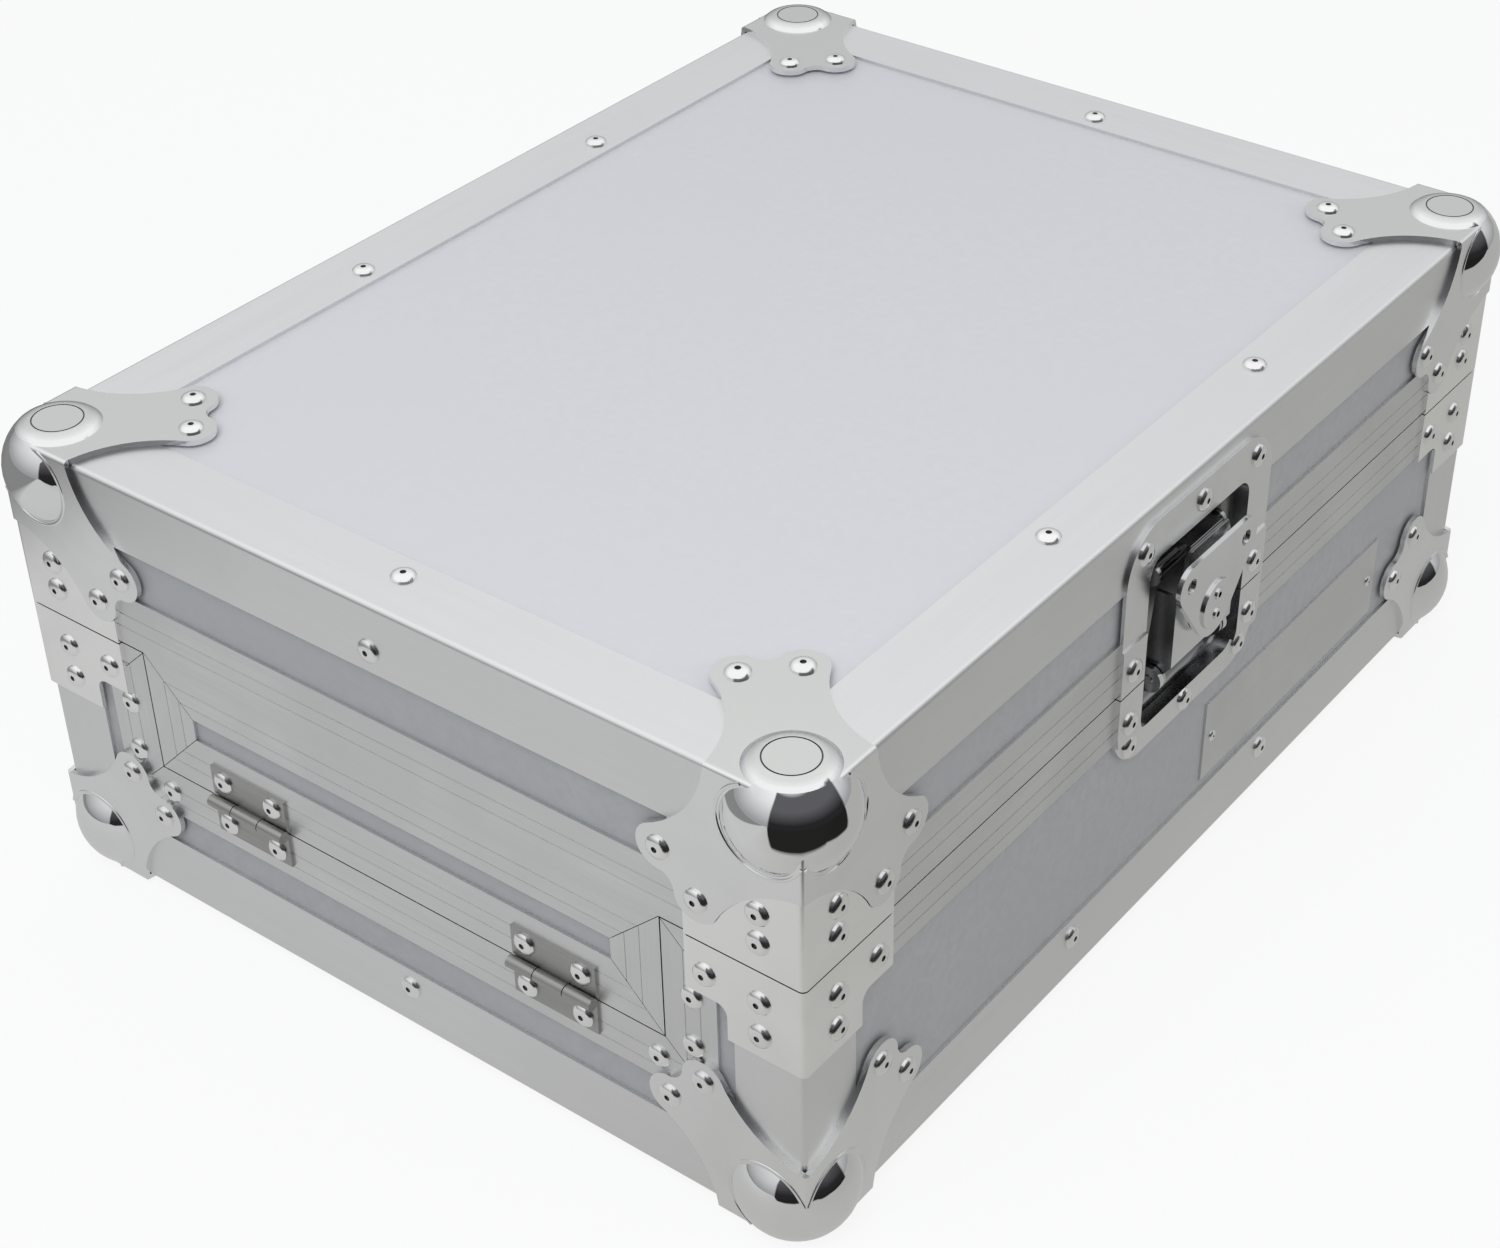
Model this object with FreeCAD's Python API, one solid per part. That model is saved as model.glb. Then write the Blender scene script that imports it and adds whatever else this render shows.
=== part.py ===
"""Flight case with a deep rear flap, two end latches, two rear hinges and a sprung front handle.

Millimetres, +Z up. The origin is under the middle of the case, on the plane its ball corners stand on.
+Y is the hinge side and -Y the handle side.
The lid is closed, and the latch arms hang just clear of their keepers.
"""
import math
import os

import FreeCAD
import Part
from FreeCAD import Placement, Rotation, Vector

# Case: the outer faces of its edge angles, and the strips of panel that show between angles and profiles
case_width = 380.0
case_depth = 500.0
lid_strip_height = 22.2
rear_strip_height = 15.9
flap_height = 56.3
joint_gap = 0.6
cut_overrun = 5.0

# Edge angles and panels
angle_leg = 30.0
angle_thickness = 1.5
angle_radius = 2.0
angle_corner_relief = 6.0
panel_thickness = 9.0

# Closing profiles round the parting line
lid_profile_height = 24.5
base_profile_height = 22.5
profile_web = 4.0
profile_inner_leg = 1.5
tongue_height = 2.2
tongue_width = 2.6
tongue_side_clearance = 0.9
tongue_tip_clearance = 0.6
tongue_rear_relief = 30.0
fine_groove_depth = 0.2
fine_groove_width = 0.35
mitre_gap = 0.4
lid_groove_drops = (9.5, 16.0)
base_groove_drops = (9.4, 16.3)

# Rear flap of the lid and the frame of the opening that it closes
flap_side_margin = 61.3
flap_stile_width = 23.1
flap_rail_height = 23.7
opening_stile_width = 23.6
opening_rail_height = 22.5

# Ball corners: three riveted feet and a hollow ball with a flat on its top or underside
ball_radius = 24.1
ball_inset = 15.2
ball_proud = 4.8
ball_wall = 1.6
ball_flat_round = 8.5
ball_ring_radius = 10.2
ball_ring_width = 0.6
ball_ring_depth = 0.4
ball_edge_trim = 15.5
foot_thickness = 2.2
foot_fold_radius = 1.8
foot_edge_reach = 38.0
foot_waist_along = 47.0
foot_waist_offset = 18.4
foot_lobe_radius = 9.5
foot_lobe_start_angle = 100.0
foot_lobe_end_angle = 48.0
foot_notch_along = 77.0
foot_rivet_along = 71.8
foot_rivet_offset = 11.0
foot_fit_gap = 0.2

# Corner braces at the parting line
brace_thickness = 1.6
brace_width = 49.5
brace_radius = 2.4
lid_brace_height = 40.0
base_brace_height = 39.2
base_brace_wing_height = 24.0
base_brace_tail_width = 31.5
base_brace_notch_radius = 5.0
brace_rivet_inset = 17.5
brace_outer_rivet_inset = 41.0
lid_brace_rivet_rise = 12.5
lid_brace_rivet_depth = 51.4
base_brace_rivet_drops = (14.0, 29.4)

# Blind rivets
rivet_head_radius = 4.8
rivet_head_height = 2.0
rivet_rim_height = 0.5
rivet_shoulder_out_share = 0.7
rivet_shoulder_up_share = 0.55
rivet_shank_radius = 2.4
rivet_shank_reach = 9.0
rivet_mandrel_radius = 1.2
rivet_mandrel_depth = 1.4
rivet_hole_clearance = 0.05
edge_rivet_inset = 20.5
long_edge_rivet_offset = 75.0
opening_rail_rivet_inset = 3.2
opening_rail_rivet_drop = 11.0
stile_rivet_offset = 12.8
stile_rivet_drops = (29.6, 53.0)

# Hinges
hinge_inset = 50.7
hinge_width = 40.0
hinge_leaf_height = 16.0
hinge_leaf_thickness = 1.2
hinge_leaf_gap = 0.3
hinge_axis_proud = 3.1
hinge_knuckle_radius = 2.6
hinge_middle_knuckle = 14.0
hinge_knuckle_gap = 0.4
hinge_pin_radius = 1.3
hinge_running_clearance = 0.05
hinge_rivet_spacing = 26.6
hinge_rivet_rise = 10.2

# Latch dishes
latch_side_flange = 17.0
latch_low_flange = 11.0
latch_high_flange = 17.5
latch_top_margin = 6.5
latch_corner_radius = 21.0
latch_flange = 1.5
latch_crank_thickness = 2.3
latch_low_flange_proud = 0.7
latch_crank_below = 24.0
latch_crank_above = 22.0
recess_side_room = 14.4
recess_low_room = 18.0
recess_corner_radius = 8.0
recess_floor_radius = 4.0
recess_depth = 8.8
dish_wall = 1.2
dish_fit_gap = 0.3
latch_corner_rivet_inset = 12.0
latch_side_rivet_inset = 8.5
latch_upper_rivet_inset = 10.5
latch_top_rivet_inset = 8.7
latch_side_rivet_rise = 9.5
latch_side_rivet_drop = 15.5
latch_lower_rivet_inset = 8.4
latch_bottom_rivet_inset = 5.6

# Latch keeper, in the lid dish
keeper_top_room = 15.0
keeper_depth = 5.0
keeper_bar_radius = 2.5
keeper_ear_radius = 4.2
keeper_ear_inner = 23.0
keeper_ear_thickness = 2.0

# Latch arm, hinged on a pin in the base dish
latch_pin_drop = 9.0
latch_pin_depth = 2.5
latch_pin_radius = 2.0
latch_pin_overhang = 0.6
latch_running_clearance = 0.06
latch_ear_radius = 5.8
latch_ear_thickness = 2.5
arm_half_width = 22.6
arm_wall = 1.7
arm_ear_gap = 0.4
arm_heel_radius = 5.4
arm_wall_top_drop = 7.0
arm_wall_top_depth = 3.5
arm_wall_low_depth = 6.5
arm_web_proud = 5.6
arm_web_thickness = 1.5
arm_web_drop = 2.0
arm_web_shoulder_drop = 13.0
arm_web_overhang = 9.0
arm_web_top_half_width = 14.0
arm_guide_width = 2.2
arm_guide_height = 1.9
arm_guide_low_rise = 3.0

# Latch claw, drawn down by the crank under the hub
claw_half_width = 12.0
claw_thickness = 1.8
claw_side_gap = 0.3
claw_face_gap = 0.3
claw_low_rise = 5.0
claw_lip_thickness = 3.0
claw_release_gap = 0.5
claw_grip_gap = 0.4
claw_stroke = 4.0
crank_pin_radius = 1.5
crank_pin_overhang = 0.3
crank_slot_clearance = 0.6

# Latch hub and butterfly wing
hub_drop = 20.0
hub_radius = 10.5
hub_base_radius = 12.5
hub_gap = 0.3
hub_base_height = 2.5
hub_boss_height = 3.0
hub_shaft_radius = 4.0
hub_rivet_radius = 2.5
hub_rivet_bore = 1.2
hub_rivet_height = 0.6
hub_rivet_offset = 4.6
wing_thickness = 2.0
wing_fit_gap = 0.05
wing_lobe_radius = 8.6
wing_lobe_offset = 20.5
wing_lobe_rise = 19.0
wing_heel_radius = 14.0
wing_hole_radius = 3.25

# Front handle
handle_recess_half_width = 54.0
handle_recess_margin = 4.1
handle_side_flange = 12.0
handle_low_flange = 7.6
handle_high_flange = 12.0
handle_corner_radius = 14.0
handle_flange = 1.5
handle_pivot_drop = 8.0
handle_pivot_depth = 3.0
handle_pin_radius = 2.0
handle_running_clearance = 0.06
handle_lug_radius = 4.4
handle_lug_thickness = 3.0
handle_lug_gap = 0.4
handle_arm_inset = 9.0
handle_arm_thickness = 4.0
handle_arm_radius = 3.6
handle_bar_rise = 12.0
handle_bar_depth = 1.6
handle_bar_radius = 3.6
handle_grip_radius = 6.2
handle_grip_end_gap = 3.0
handle_rivet_side_inset = 6.0
handle_rivet_inset = 10.0

# Label plate on the left end
label_length = 150.0
label_height = 39.0
label_thickness = 1.0
label_offset = 99.0
label_centre_height = 54.5
label_pin_inset = 6.3
label_pin_radius = 2.4
label_pin_height = 1.0
label_pin_reach = 5.0

# Foam lining
base_foam_thickness = 10.0
lid_foam_thickness = 15.0
wall_foam_thickness = 10.0
foam_edge_gap = 1.0

# Levels and planes that follow from the sizes above
lid_height = joint_gap / 2 + lid_profile_height + lid_strip_height + angle_leg
flap_parting_height = angle_leg + rear_strip_height + opening_rail_height + joint_gap / 2
parting_height = flap_parting_height + flap_height
case_height = parting_height + lid_height
floor_level = ball_proud
top_level = floor_level + case_height
middle_level = floor_level + case_height / 2
half_width = case_width / 2
half_depth = case_depth / 2
parting_level = floor_level + parting_height
hinge_level = floor_level + flap_parting_height
lid_rim = parting_level + joint_gap / 2
base_rim = parting_level - joint_gap / 2
lid_lip = lid_rim + lid_profile_height
base_lip = base_rim - base_profile_height
wall_depth = angle_thickness + panel_thickness
profile_depth = wall_depth + profile_inner_leg
hinge_axis_y = half_depth + hinge_axis_proud
flap_half_width = half_width - flap_side_margin
hinge_offset = flap_half_width - hinge_inset
flap_edge = flap_half_width - joint_gap / 2
flap_foot = hinge_level + joint_gap / 2
flap_inner_edge = flap_edge - flap_stile_width
flap_inner_low = flap_foot + flap_rail_height
flap_inner_high = lid_rim - base_profile_height
opening_edge = flap_half_width + joint_gap / 2
opening_outer_edge = opening_edge + opening_stile_width
opening_sill = hinge_level - joint_gap / 2
opening_sill_low = opening_sill - opening_rail_height

outward = {
    "left": Vector(-1, 0, 0), "right": Vector(1, 0, 0), "front": Vector(0, -1, 0),
    "rear": Vector(0, 1, 0), "bottom": Vector(0, 0, -1), "top": Vector(0, 0, 1),
}
corner_signs = [(x, y) for x in (-1, 1) for y in (-1, 1)]
full_turn = 360


# Shape helpers
def block(x, y, z):
    """A box from three (low, high) pairs, in either order."""
    low = Vector(min(x), min(y), min(z))
    high = Vector(max(x), max(y), max(z))
    return Part.makeBox(high.x - low.x, high.y - low.y, high.z - low.z, low)


def prism(points, travel):
    """A straight prism on a closed outline of points."""
    return Part.Face(Part.makePolygon(points + points[:1])).extrude(travel)


def rod(start, end, radius):
    """A round bar between two points."""
    return Part.makeCylinder(radius, (end - start).Length, start, end - start)


def joined(shapes):
    """One solid from shapes that overlap or touch."""
    return shapes[0].multiFuse(shapes[1:]).removeSplitter()


def without(shape, tools):
    """A shape less a list of tools."""
    return shape.cut(tools) if tools else shape


def edges_where(shape, test):
    """The edges of a shape whose bounding box passes a test."""
    return [edge for edge in shape.Edges if test(edge.BoundBox)]


def mirrored(shape, axis):
    """A copy of a shape on the other side of the case along X or Y."""
    return shape.mirror(Vector(0, 0, 0), axis)


def on_face(face, along, height, proud=0):
    """A point on a side of the case, or on its top or bottom, where the two places are x and y."""
    if face in ("left", "right"):
        return Vector(outward[face].x * (half_width + proud), along, height)
    if face in ("front", "rear"):
        return Vector(along, outward[face].y * (half_depth + proud), height)
    level = top_level + proud if face == "top" else floor_level - proud
    return Vector(along, height, level)


def sector(face, low, high):
    """The quarter of the case, cut at 45 degrees in plan, that belongs to one side."""
    across = outward[face].y == 0
    half_run = half_depth if across else half_width
    edge = half_width if across else half_depth
    sign = outward[face].x + outward[face].y
    reach = angle_leg + cut_overrun
    plan = [(-half_run - cut_overrun, edge + cut_overrun), (half_run + cut_overrun, edge + cut_overrun),
            (half_run - reach, edge - reach), (reach - half_run, edge - reach)]
    if across:
        points = [Vector(sign * out, run, low) for run, out in plan]
    else:
        points = [Vector(run, sign * out, low) for run, out in plan]
    return prism(points, Vector(0, 0, high - low))


def side_band(face, inner, outer, low, high, half_run):
    """A box along one side between two depths inside its outer face."""
    if face in ("left", "right"):
        depths = [outward[face].x * (half_width - depth) for depth in (inner, outer)]
        return block(depths, (-half_run, half_run), (low, high))
    depths = [outward[face].y * (half_depth - depth) for depth in (inner, outer)]
    return block((-half_run, half_run), depths, (low, high))


def half_run_of(face):
    """Half the length of a side."""
    return half_depth if face in ("left", "right") else half_width


# Rivets are gathered here while the pieces are made, then drilled through what they hold
rivets = {"lid": [], "base": []}


def add_rivet(body, face, along, height, seat):
    """Notes a rivet whose head sits at a height above the outer face of the angles."""
    rivets[body].append((face, on_face(face, along, height, seat), seat))


def rivet_head():
    """A domed head with the mandrel's hole, standing on the XY plane, with its shank below."""
    crown = Vector(0, 0, rivet_head_height)
    rim = Vector(rivet_head_radius, 0, rivet_rim_height)
    shoulder = Vector(rivet_head_radius * rivet_shoulder_out_share, 0,
                      rivet_rim_height + (rivet_head_height - rivet_rim_height) * rivet_shoulder_up_share)
    outline = Part.Wire([
        Part.makeLine(Vector(0, 0, 0), crown),
        Part.Arc(crown, shoulder, rim).toShape(),
        Part.makeLine(rim, Vector(rivet_head_radius, 0, 0)),
        Part.makeLine(Vector(rivet_head_radius, 0, 0), Vector(0, 0, 0)),
    ])
    head = Part.Face(outline).revolve(Vector(0, 0, 0), Vector(0, 0, 1), full_turn)
    mandrel = rod(Vector(0, 0, rivet_head_height - rivet_mandrel_depth),
                  Vector(0, 0, rivet_head_height + cut_overrun), rivet_mandrel_radius)
    return head.cut(mandrel)


def facing(shape, face, place):
    """A shape made along +Z, turned to a side's outward direction and moved to its place."""
    copy = shape.copy()
    copy.Placement = Placement(place, Rotation(Vector(0, 0, 1), outward[face]))
    return copy


def rivet_set(body):
    """Every rivet of a body as separate solids."""
    head = rivet_head()
    solids = []
    for face, place, seat in rivets[body]:
        shank = rod(Vector(0, 0, -seat - rivet_shank_reach), Vector(0, 0, 0), rivet_shank_radius)
        solids.append(facing(joined([head, shank]), face, place))
    return solids


def rivet_holes(body):
    """The holes that the rivets of a body need."""
    radius = rivet_shank_radius + rivet_hole_clearance
    holes = []
    for face, place, seat in rivets[body]:
        depth = seat + rivet_shank_reach + rivet_hole_clearance
        holes.append(facing(rod(Vector(0, 0, -depth), Vector(0, 0, cut_overrun), radius), face, place))
    return holes


def drilled(shape, holes):
    """A shape with every hole that crosses its bounding box."""
    box = shape.BoundBox
    return without(shape, [hole for hole in holes if hole.BoundBox.intersect(box)])


# Edge angles
def corner_relief():
    """Small cubes that clear the balls from the ends of the edge angles."""
    size = angle_corner_relief
    cubes = []
    for x, y in corner_signs:
        for low, high in ((floor_level, floor_level + size), (top_level - size, top_level)):
            cubes.append(block((x * half_width, x * (half_width - size)),
                               (y * half_depth, y * (half_depth - size)), (low, high)))
    return cubes


def edge_angle(face, level, inward):
    """An angle along the bottom or top edge of one side, mitred at both ends."""
    run = half_run_of(face)
    legs = sorted((level, level + inward * angle_leg))
    outer = side_band(face, 0, angle_leg, legs[0], legs[1], run)
    inner_low = level + inward * angle_thickness
    inner = side_band(face, angle_thickness, angle_leg + cut_overrun, inner_low,
                      level + inward * (angle_leg + cut_overrun), run + cut_overrun)
    bar = outer.cut(inner)
    edge = on_face(face, 0, level)
    fold = edges_where(bar, lambda box: abs(box.ZMax - level) + abs(box.ZMin - level) < angle_radius and (
        box.Center - edge).Length < angle_radius)
    bar = bar.makeFillet(angle_radius, fold)
    bar = bar.common(sector(face, legs[0] - cut_overrun, legs[1] + cut_overrun))
    return without(bar, corner_relief())


def corner_angle(x, y, low, high):
    """An upright angle on one corner of the case."""
    outer = block((x * half_width, x * (half_width - angle_leg)),
                  (y * half_depth, y * (half_depth - angle_leg)), (low, high))
    reach = angle_leg + cut_overrun
    inner = block((x * (half_width - angle_thickness), x * (half_width - reach)),
                  (y * (half_depth - angle_thickness), y * (half_depth - reach)), (low, high))
    bar = outer.cut(inner)
    fold = edges_where(bar, lambda box: abs(box.Center.x - x * half_width) + abs(
        box.Center.y - y * half_depth) < angle_radius and box.ZLength > angle_radius)
    return bar.makeFillet(angle_radius, fold)


# Closing profiles
def fine_groove_rings():
    """Shallow lines cut all round the outer faces of the lid and base profiles."""
    rings = []
    levels = [lid_lip - drop for drop in lid_groove_drops] + [base_rim - drop for drop in base_groove_drops]
    for level in levels:
        low, high = level - fine_groove_width / 2, level + fine_groove_width / 2
        for face in ("left", "right", "front", "rear"):
            rings.append(side_band(face, -cut_overrun, fine_groove_depth, low, high, half_run_of(face)
                                   + cut_overrun))
    return rings


def tongue_band(face, width, low, high, rear_relief):
    """The run of the tongue, or of the groove it enters, along one side."""
    middle = profile_depth / 2
    band = side_band(face, middle - width / 2, middle + width / 2, low, high, half_run_of(face) - middle
                     + width / 2)
    stop = half_depth - rear_relief
    tall = (low - cut_overrun, high + cut_overrun)
    return band.cut(block((-case_width, case_width), (stop, case_depth), tall))


def lid_profile(face, panels):
    """One side of the lid's closing profile, with the tongue on the sides that lift."""
    bar = side_band(face, 0, profile_depth, lid_rim, lid_lip, half_run_of(face))
    bar = without(bar, panels)
    if face != "rear":
        tongue = tongue_band(face, tongue_width, base_rim - tongue_height, lid_rim + profile_web / 2,
                             tongue_rear_relief)
        bar = joined([bar, tongue])
    bar = bar.common(sector(face, base_lip, lid_lip + cut_overrun))
    return bar.cut(fine_groove_rings())


def base_profile(face, panels):
    """One side of the base's closing profile, with the groove that takes the tongue."""
    bar = side_band(face, 0, profile_depth, base_lip, base_rim, half_run_of(face))
    groove = tongue_band(face, tongue_width + tongue_side_clearance + tongue_side_clearance,
                         base_rim - tongue_height - tongue_tip_clearance, base_rim + cut_overrun,
                         tongue_rear_relief - profile_depth / 2)
    bar = without(bar, panels + [groove])
    bar = bar.common(sector(face, base_lip - cut_overrun, base_rim + cut_overrun))
    return bar.cut(fine_groove_rings())


def rear_piece(outline, panel):
    """A rail or stile of the rear opening, slotted for its panel."""
    points = [Vector(x, half_depth - profile_depth, z) for x, z in outline]
    return prism(points, Vector(0, profile_depth, 0)).cut(panel)


def rear_lines(levels, edges):
    """Fine lines across the rear at some levels, and up it at some distances from the middle."""
    depths = (half_depth - fine_groove_depth, half_depth + cut_overrun)
    half_line = fine_groove_width / 2
    tools = [block((-half_width, half_width), depths, (z - half_line, z + half_line)) for z in levels]
    for edge in edges:
        for x in (-edge, edge):
            tools.append(block((x - half_line, x + half_line), depths, (floor_level, top_level)))
    return tools


def flap_rails(panel):
    """The flap's top rail, its two stiles and its bottom rail."""
    top = rear_piece([(-flap_edge, lid_rim), (flap_edge, lid_rim), (flap_inner_edge, flap_inner_high),
                      (-flap_inner_edge, flap_inner_high)], panel)
    bottom = rear_piece([(-flap_edge, flap_foot), (flap_edge, flap_foot), (flap_inner_edge, flap_inner_low),
                         (-flap_inner_edge, flap_inner_low)], panel)
    stile = rear_piece([(flap_edge, lid_rim - mitre_gap), (flap_edge, flap_foot + mitre_gap),
                        (flap_inner_edge, flap_inner_low + mitre_gap),
                        (flap_inner_edge, flap_inner_high - mitre_gap)], panel)
    stile = stile.cut(rear_lines([], [flap_edge - drop for drop in base_groove_drops]))
    top = top.cut(rear_lines([base_rim - drop for drop in base_groove_drops], []))
    bottom = bottom.cut(rear_lines([flap_inner_low - drop for drop in lid_groove_drops], []))
    return top, [stile, mirrored(stile, Vector(1, 0, 0))], bottom


def opening_frame(panel):
    """The base's rear profiles, the two stiles and the rail of the opening that the flap closes."""
    stub = rear_piece([(opening_edge, base_rim), (half_width, base_rim), (half_width, base_lip),
                       (opening_outer_edge, base_lip)], panel)
    stub = stub.common(sector("rear", base_lip - cut_overrun, base_rim + cut_overrun))
    stub = stub.cut(fine_groove_rings())
    stile = rear_piece([(opening_edge, base_rim - mitre_gap), (opening_edge, opening_sill + mitre_gap),
                        (opening_outer_edge, opening_sill_low + mitre_gap),
                        (opening_outer_edge, base_lip - mitre_gap)], panel)
    stile = stile.cut(rear_lines([], [opening_edge + drop for drop in base_groove_drops]))
    rail = rear_piece([(-opening_edge, opening_sill), (opening_edge, opening_sill),
                       (opening_outer_edge, opening_sill_low),
                       (-opening_outer_edge, opening_sill_low)], panel)
    rail = rail.cut(rear_lines([opening_sill - drop for drop in base_groove_drops], []))
    across = Vector(1, 0, 0)
    return [stub, mirrored(stub, across)], [stile, mirrored(stile, across)], rail


# Panels
def wall_panel(face, low, high):
    """A side panel: front and rear run the full width, and the ends fit between them."""
    run = half_width - angle_thickness if face in ("front", "rear") else half_depth - wall_depth
    return side_band(face, angle_thickness, wall_depth, low, high, run)


def flat_panel(low, high):
    """The top or bottom panel."""
    x, y = half_width - angle_thickness, half_depth - angle_thickness
    return block((-x, x), (-y, y), (low, high))


def base_rear_panel(low, high):
    """The rear panel of the base, notched for the flap."""
    side = opening_edge + profile_web
    notch = side_band("rear", -cut_overrun, wall_depth + cut_overrun, opening_sill - profile_web,
                      high + cut_overrun, side)
    return wall_panel("rear", low, high).cut(notch)


def flap_panel():
    """The strip of panel inside the flap's rails."""
    return side_band("rear", angle_thickness, wall_depth, flap_foot + profile_web, lid_rim - profile_web,
                     flap_edge - profile_web)


# Ball corners, made for a corner at the origin with the case on the positive side of all three axes
def foot_point(along, offset):
    """A point of the foot's outline, from places along and across the face's diagonal."""
    return Vector((along + offset) / math.sqrt(2), (along - offset) / math.sqrt(2), 0)


def foot_half_outline(margin):
    """Edges of half a foot, from the fold to the notch between its two lobes."""
    reach = foot_edge_reach + margin
    lobe = foot_lobe_radius + margin

    def lobe_point(angle):
        along = foot_rivet_along + lobe * math.cos(math.radians(angle))
        return foot_point(along, foot_rivet_offset + lobe * math.sin(math.radians(angle)))

    fold_out = Vector(reach, -foot_thickness, 0)
    fold = Vector(reach, 0, 0)
    waist = foot_point(foot_waist_along, foot_waist_offset + margin)
    start = lobe_point(foot_lobe_start_angle)
    middle = lobe_point((foot_lobe_start_angle - foot_lobe_end_angle) / 2)
    end = lobe_point(-foot_lobe_end_angle)
    edges = [Part.makeLine(fold_out, fold), Part.Arc(fold, waist, start).toShape(),
             Part.Arc(start, middle, end).toShape()]
    return edges, fold_out, end


def foot_plate(margin, thickness):
    """A foot on the bottom face, in the corner's own axes."""
    half, fold_out, lobe_end = foot_half_outline(margin)
    across = Vector(1, -1, 0)
    other = [edge.mirror(Vector(0, 0, 0), across) for edge in half]
    heel = Vector(-foot_thickness, -foot_thickness, 0)
    notch = foot_point(foot_notch_along + margin, 0)
    far_end = Vector(lobe_end.y, lobe_end.x, 0)
    far_fold = Vector(fold_out.y, fold_out.x, 0)
    edges = half + other + [Part.Arc(lobe_end, notch, far_end).toShape(), Part.makeLine(heel, fold_out),
                            Part.makeLine(heel, far_fold)]
    outline = Part.Wire(Part.__sortEdges__(edges))
    return Part.Face(outline).extrude(Vector(0, 0, -thickness))


third_turn = full_turn / 3


def three_ways(shape):
    """A shape and its copies on the other two faces of the corner."""
    copies = []
    for turn in (0, third_turn, third_turn + third_turn):
        copy = shape.copy()
        copy.rotate(Vector(0, 0, 0), Vector(1, 1, 1), turn)
        copies.append(copy)
    return copies


def clipped_ball(radius, proud):
    """A ball with one flat, outside the corner's level face."""
    centre = Vector(ball_inset, ball_inset, ball_inset)
    reach = ball_radius + ball_inset + cut_overrun
    clip = block((-reach, reach), (-reach, reach), (-proud, reach))
    return Part.makeSphere(radius, centre).common(clip)


def ball_corner():
    """One ball corner in its own axes: three feet folded over the edges, and the hollow ball."""
    feet = joined(three_ways(foot_plate(0, foot_thickness)))
    out = -foot_thickness
    folds = edges_where(feet, lambda box: sum(
        abs(low - out) + abs(high - out) < foot_fit_gap
        for low, high in ((box.XMin, box.XMax), (box.YMin, box.YMax), (box.ZMin, box.ZMax))) == 2)
    feet = feet.makeFillet(foot_fold_radius, folds)
    trim = (out - cut_overrun, ball_edge_trim)
    feet = feet.cut(block(trim, trim, trim))
    ball = clipped_ball(ball_radius, ball_proud)
    rim = edges_where(
        ball, lambda box: abs(box.ZMin + ball_proud) + abs(box.ZMax + ball_proud) < foot_fit_gap)
    ball = ball.makeFillet(ball_flat_round, rim)
    reach = foot_rivet_along + foot_rivet_along
    inside = block((0, reach), (0, reach), (0, reach))
    size = angle_corner_relief
    inside = inside.cut(block((0, size), (0, size), (0, size)))
    shell = joined([feet, ball])
    shell = without(shell, [clipped_ball(ball_radius - ball_wall, ball_proud - ball_wall), inside])
    flat_centre = Vector(ball_inset, ball_inset, -ball_proud)
    rise = Vector(0, 0, ball_ring_depth)
    below = Vector(0, 0, -cut_overrun)
    ring = rod(flat_centre + below, flat_centre + rise, ball_ring_radius)
    ring = ring.cut(rod(flat_centre + below, flat_centre + rise, ball_ring_radius - ball_ring_width))
    return shell.cut(ring)


def at_corners(shape, upper):
    """Copies of a shape made in the corner's own axes, at the four lower or upper corners of the case."""
    copies = []
    for x, y in corner_signs:
        copy = shape.copy()
        copy.translate(Vector(-half_width, -half_depth, floor_level))
        if x > 0:
            copy = mirrored(copy, Vector(1, 0, 0))
        if y > 0:
            copy = mirrored(copy, Vector(0, 1, 0))
        if upper:
            copy = copy.mirror(Vector(0, 0, middle_level), Vector(0, 0, 1))
        copies.append(copy)
    return copies


def ball_corner_rivets(body, upper):
    """Two rivets through each foot of the ball corners."""
    far = foot_point(foot_rivet_along, foot_rivet_offset)
    flat = "top" if upper else "bottom"
    for x, y in corner_signs:
        end, side = "right" if x > 0 else "left", "rear" if y > 0 else "front"
        for a, b in ((far.x, far.y), (far.y, far.x)):
            level = top_level - b if upper else floor_level + b
            add_rivet(body, flat, x * (half_width - a), y * (half_depth - b), foot_thickness)
            add_rivet(body, end, y * (half_depth - a), level, foot_thickness)
            add_rivet(body, side, x * (half_width - a), level, foot_thickness)


# Corner braces
def brace(x, y, low, high):
    """A plate bent round a corner of the case."""
    outer = block((x * (half_width + brace_thickness), x * (half_width - brace_width)),
                  (y * (half_depth + brace_thickness), y * (half_depth - brace_width)), (low, high))
    inner = block((x * half_width, x * (half_width - brace_width - cut_overrun)),
                  (y * half_depth, y * (half_depth - brace_width - cut_overrun)), (low, high))
    plate = outer.cut(inner)
    fold = edges_where(plate, lambda box: abs(box.Center.x - x * (half_width + brace_thickness)) + abs(
        box.Center.y - y * (half_depth + brace_thickness)) < brace_radius and box.ZLength > brace_radius)
    return plate.makeFillet(brace_radius, fold)


def base_brace(x, y):
    """A base brace, narrower below with a rounded step on each face."""
    low = base_rim - base_brace_height
    step = base_rim - base_brace_wing_height
    plate = brace(x, y, low, base_rim)
    radius = base_brace_notch_radius
    reach = brace_width + cut_overrun
    tools = []
    for along_x in (True, False):
        near = (half_width if along_x else half_depth) - base_brace_tail_width
        far = (half_width if along_x else half_depth) - reach
        deep = (half_depth if along_x else half_width) - angle_thickness
        out = (half_depth if along_x else half_width) + brace_thickness + cut_overrun
        run = (x * near, x * far) if along_x else (y * near, y * far)
        depth = (y * deep, y * out) if along_x else (x * deep, x * out)
        height = (low - cut_overrun, step)
        tool = block(run, depth, height) if along_x else block(depth, run, height)
        place = run[0]
        corner = edges_where(tool, lambda box: abs(box.ZMin - step) + abs(box.ZMax - step) < radius and abs(
            (box.Center.x if along_x else box.Center.y) - place) < radius)
        tools.append(tool.makeFillet(radius, corner))
    return without(plate, tools)


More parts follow.
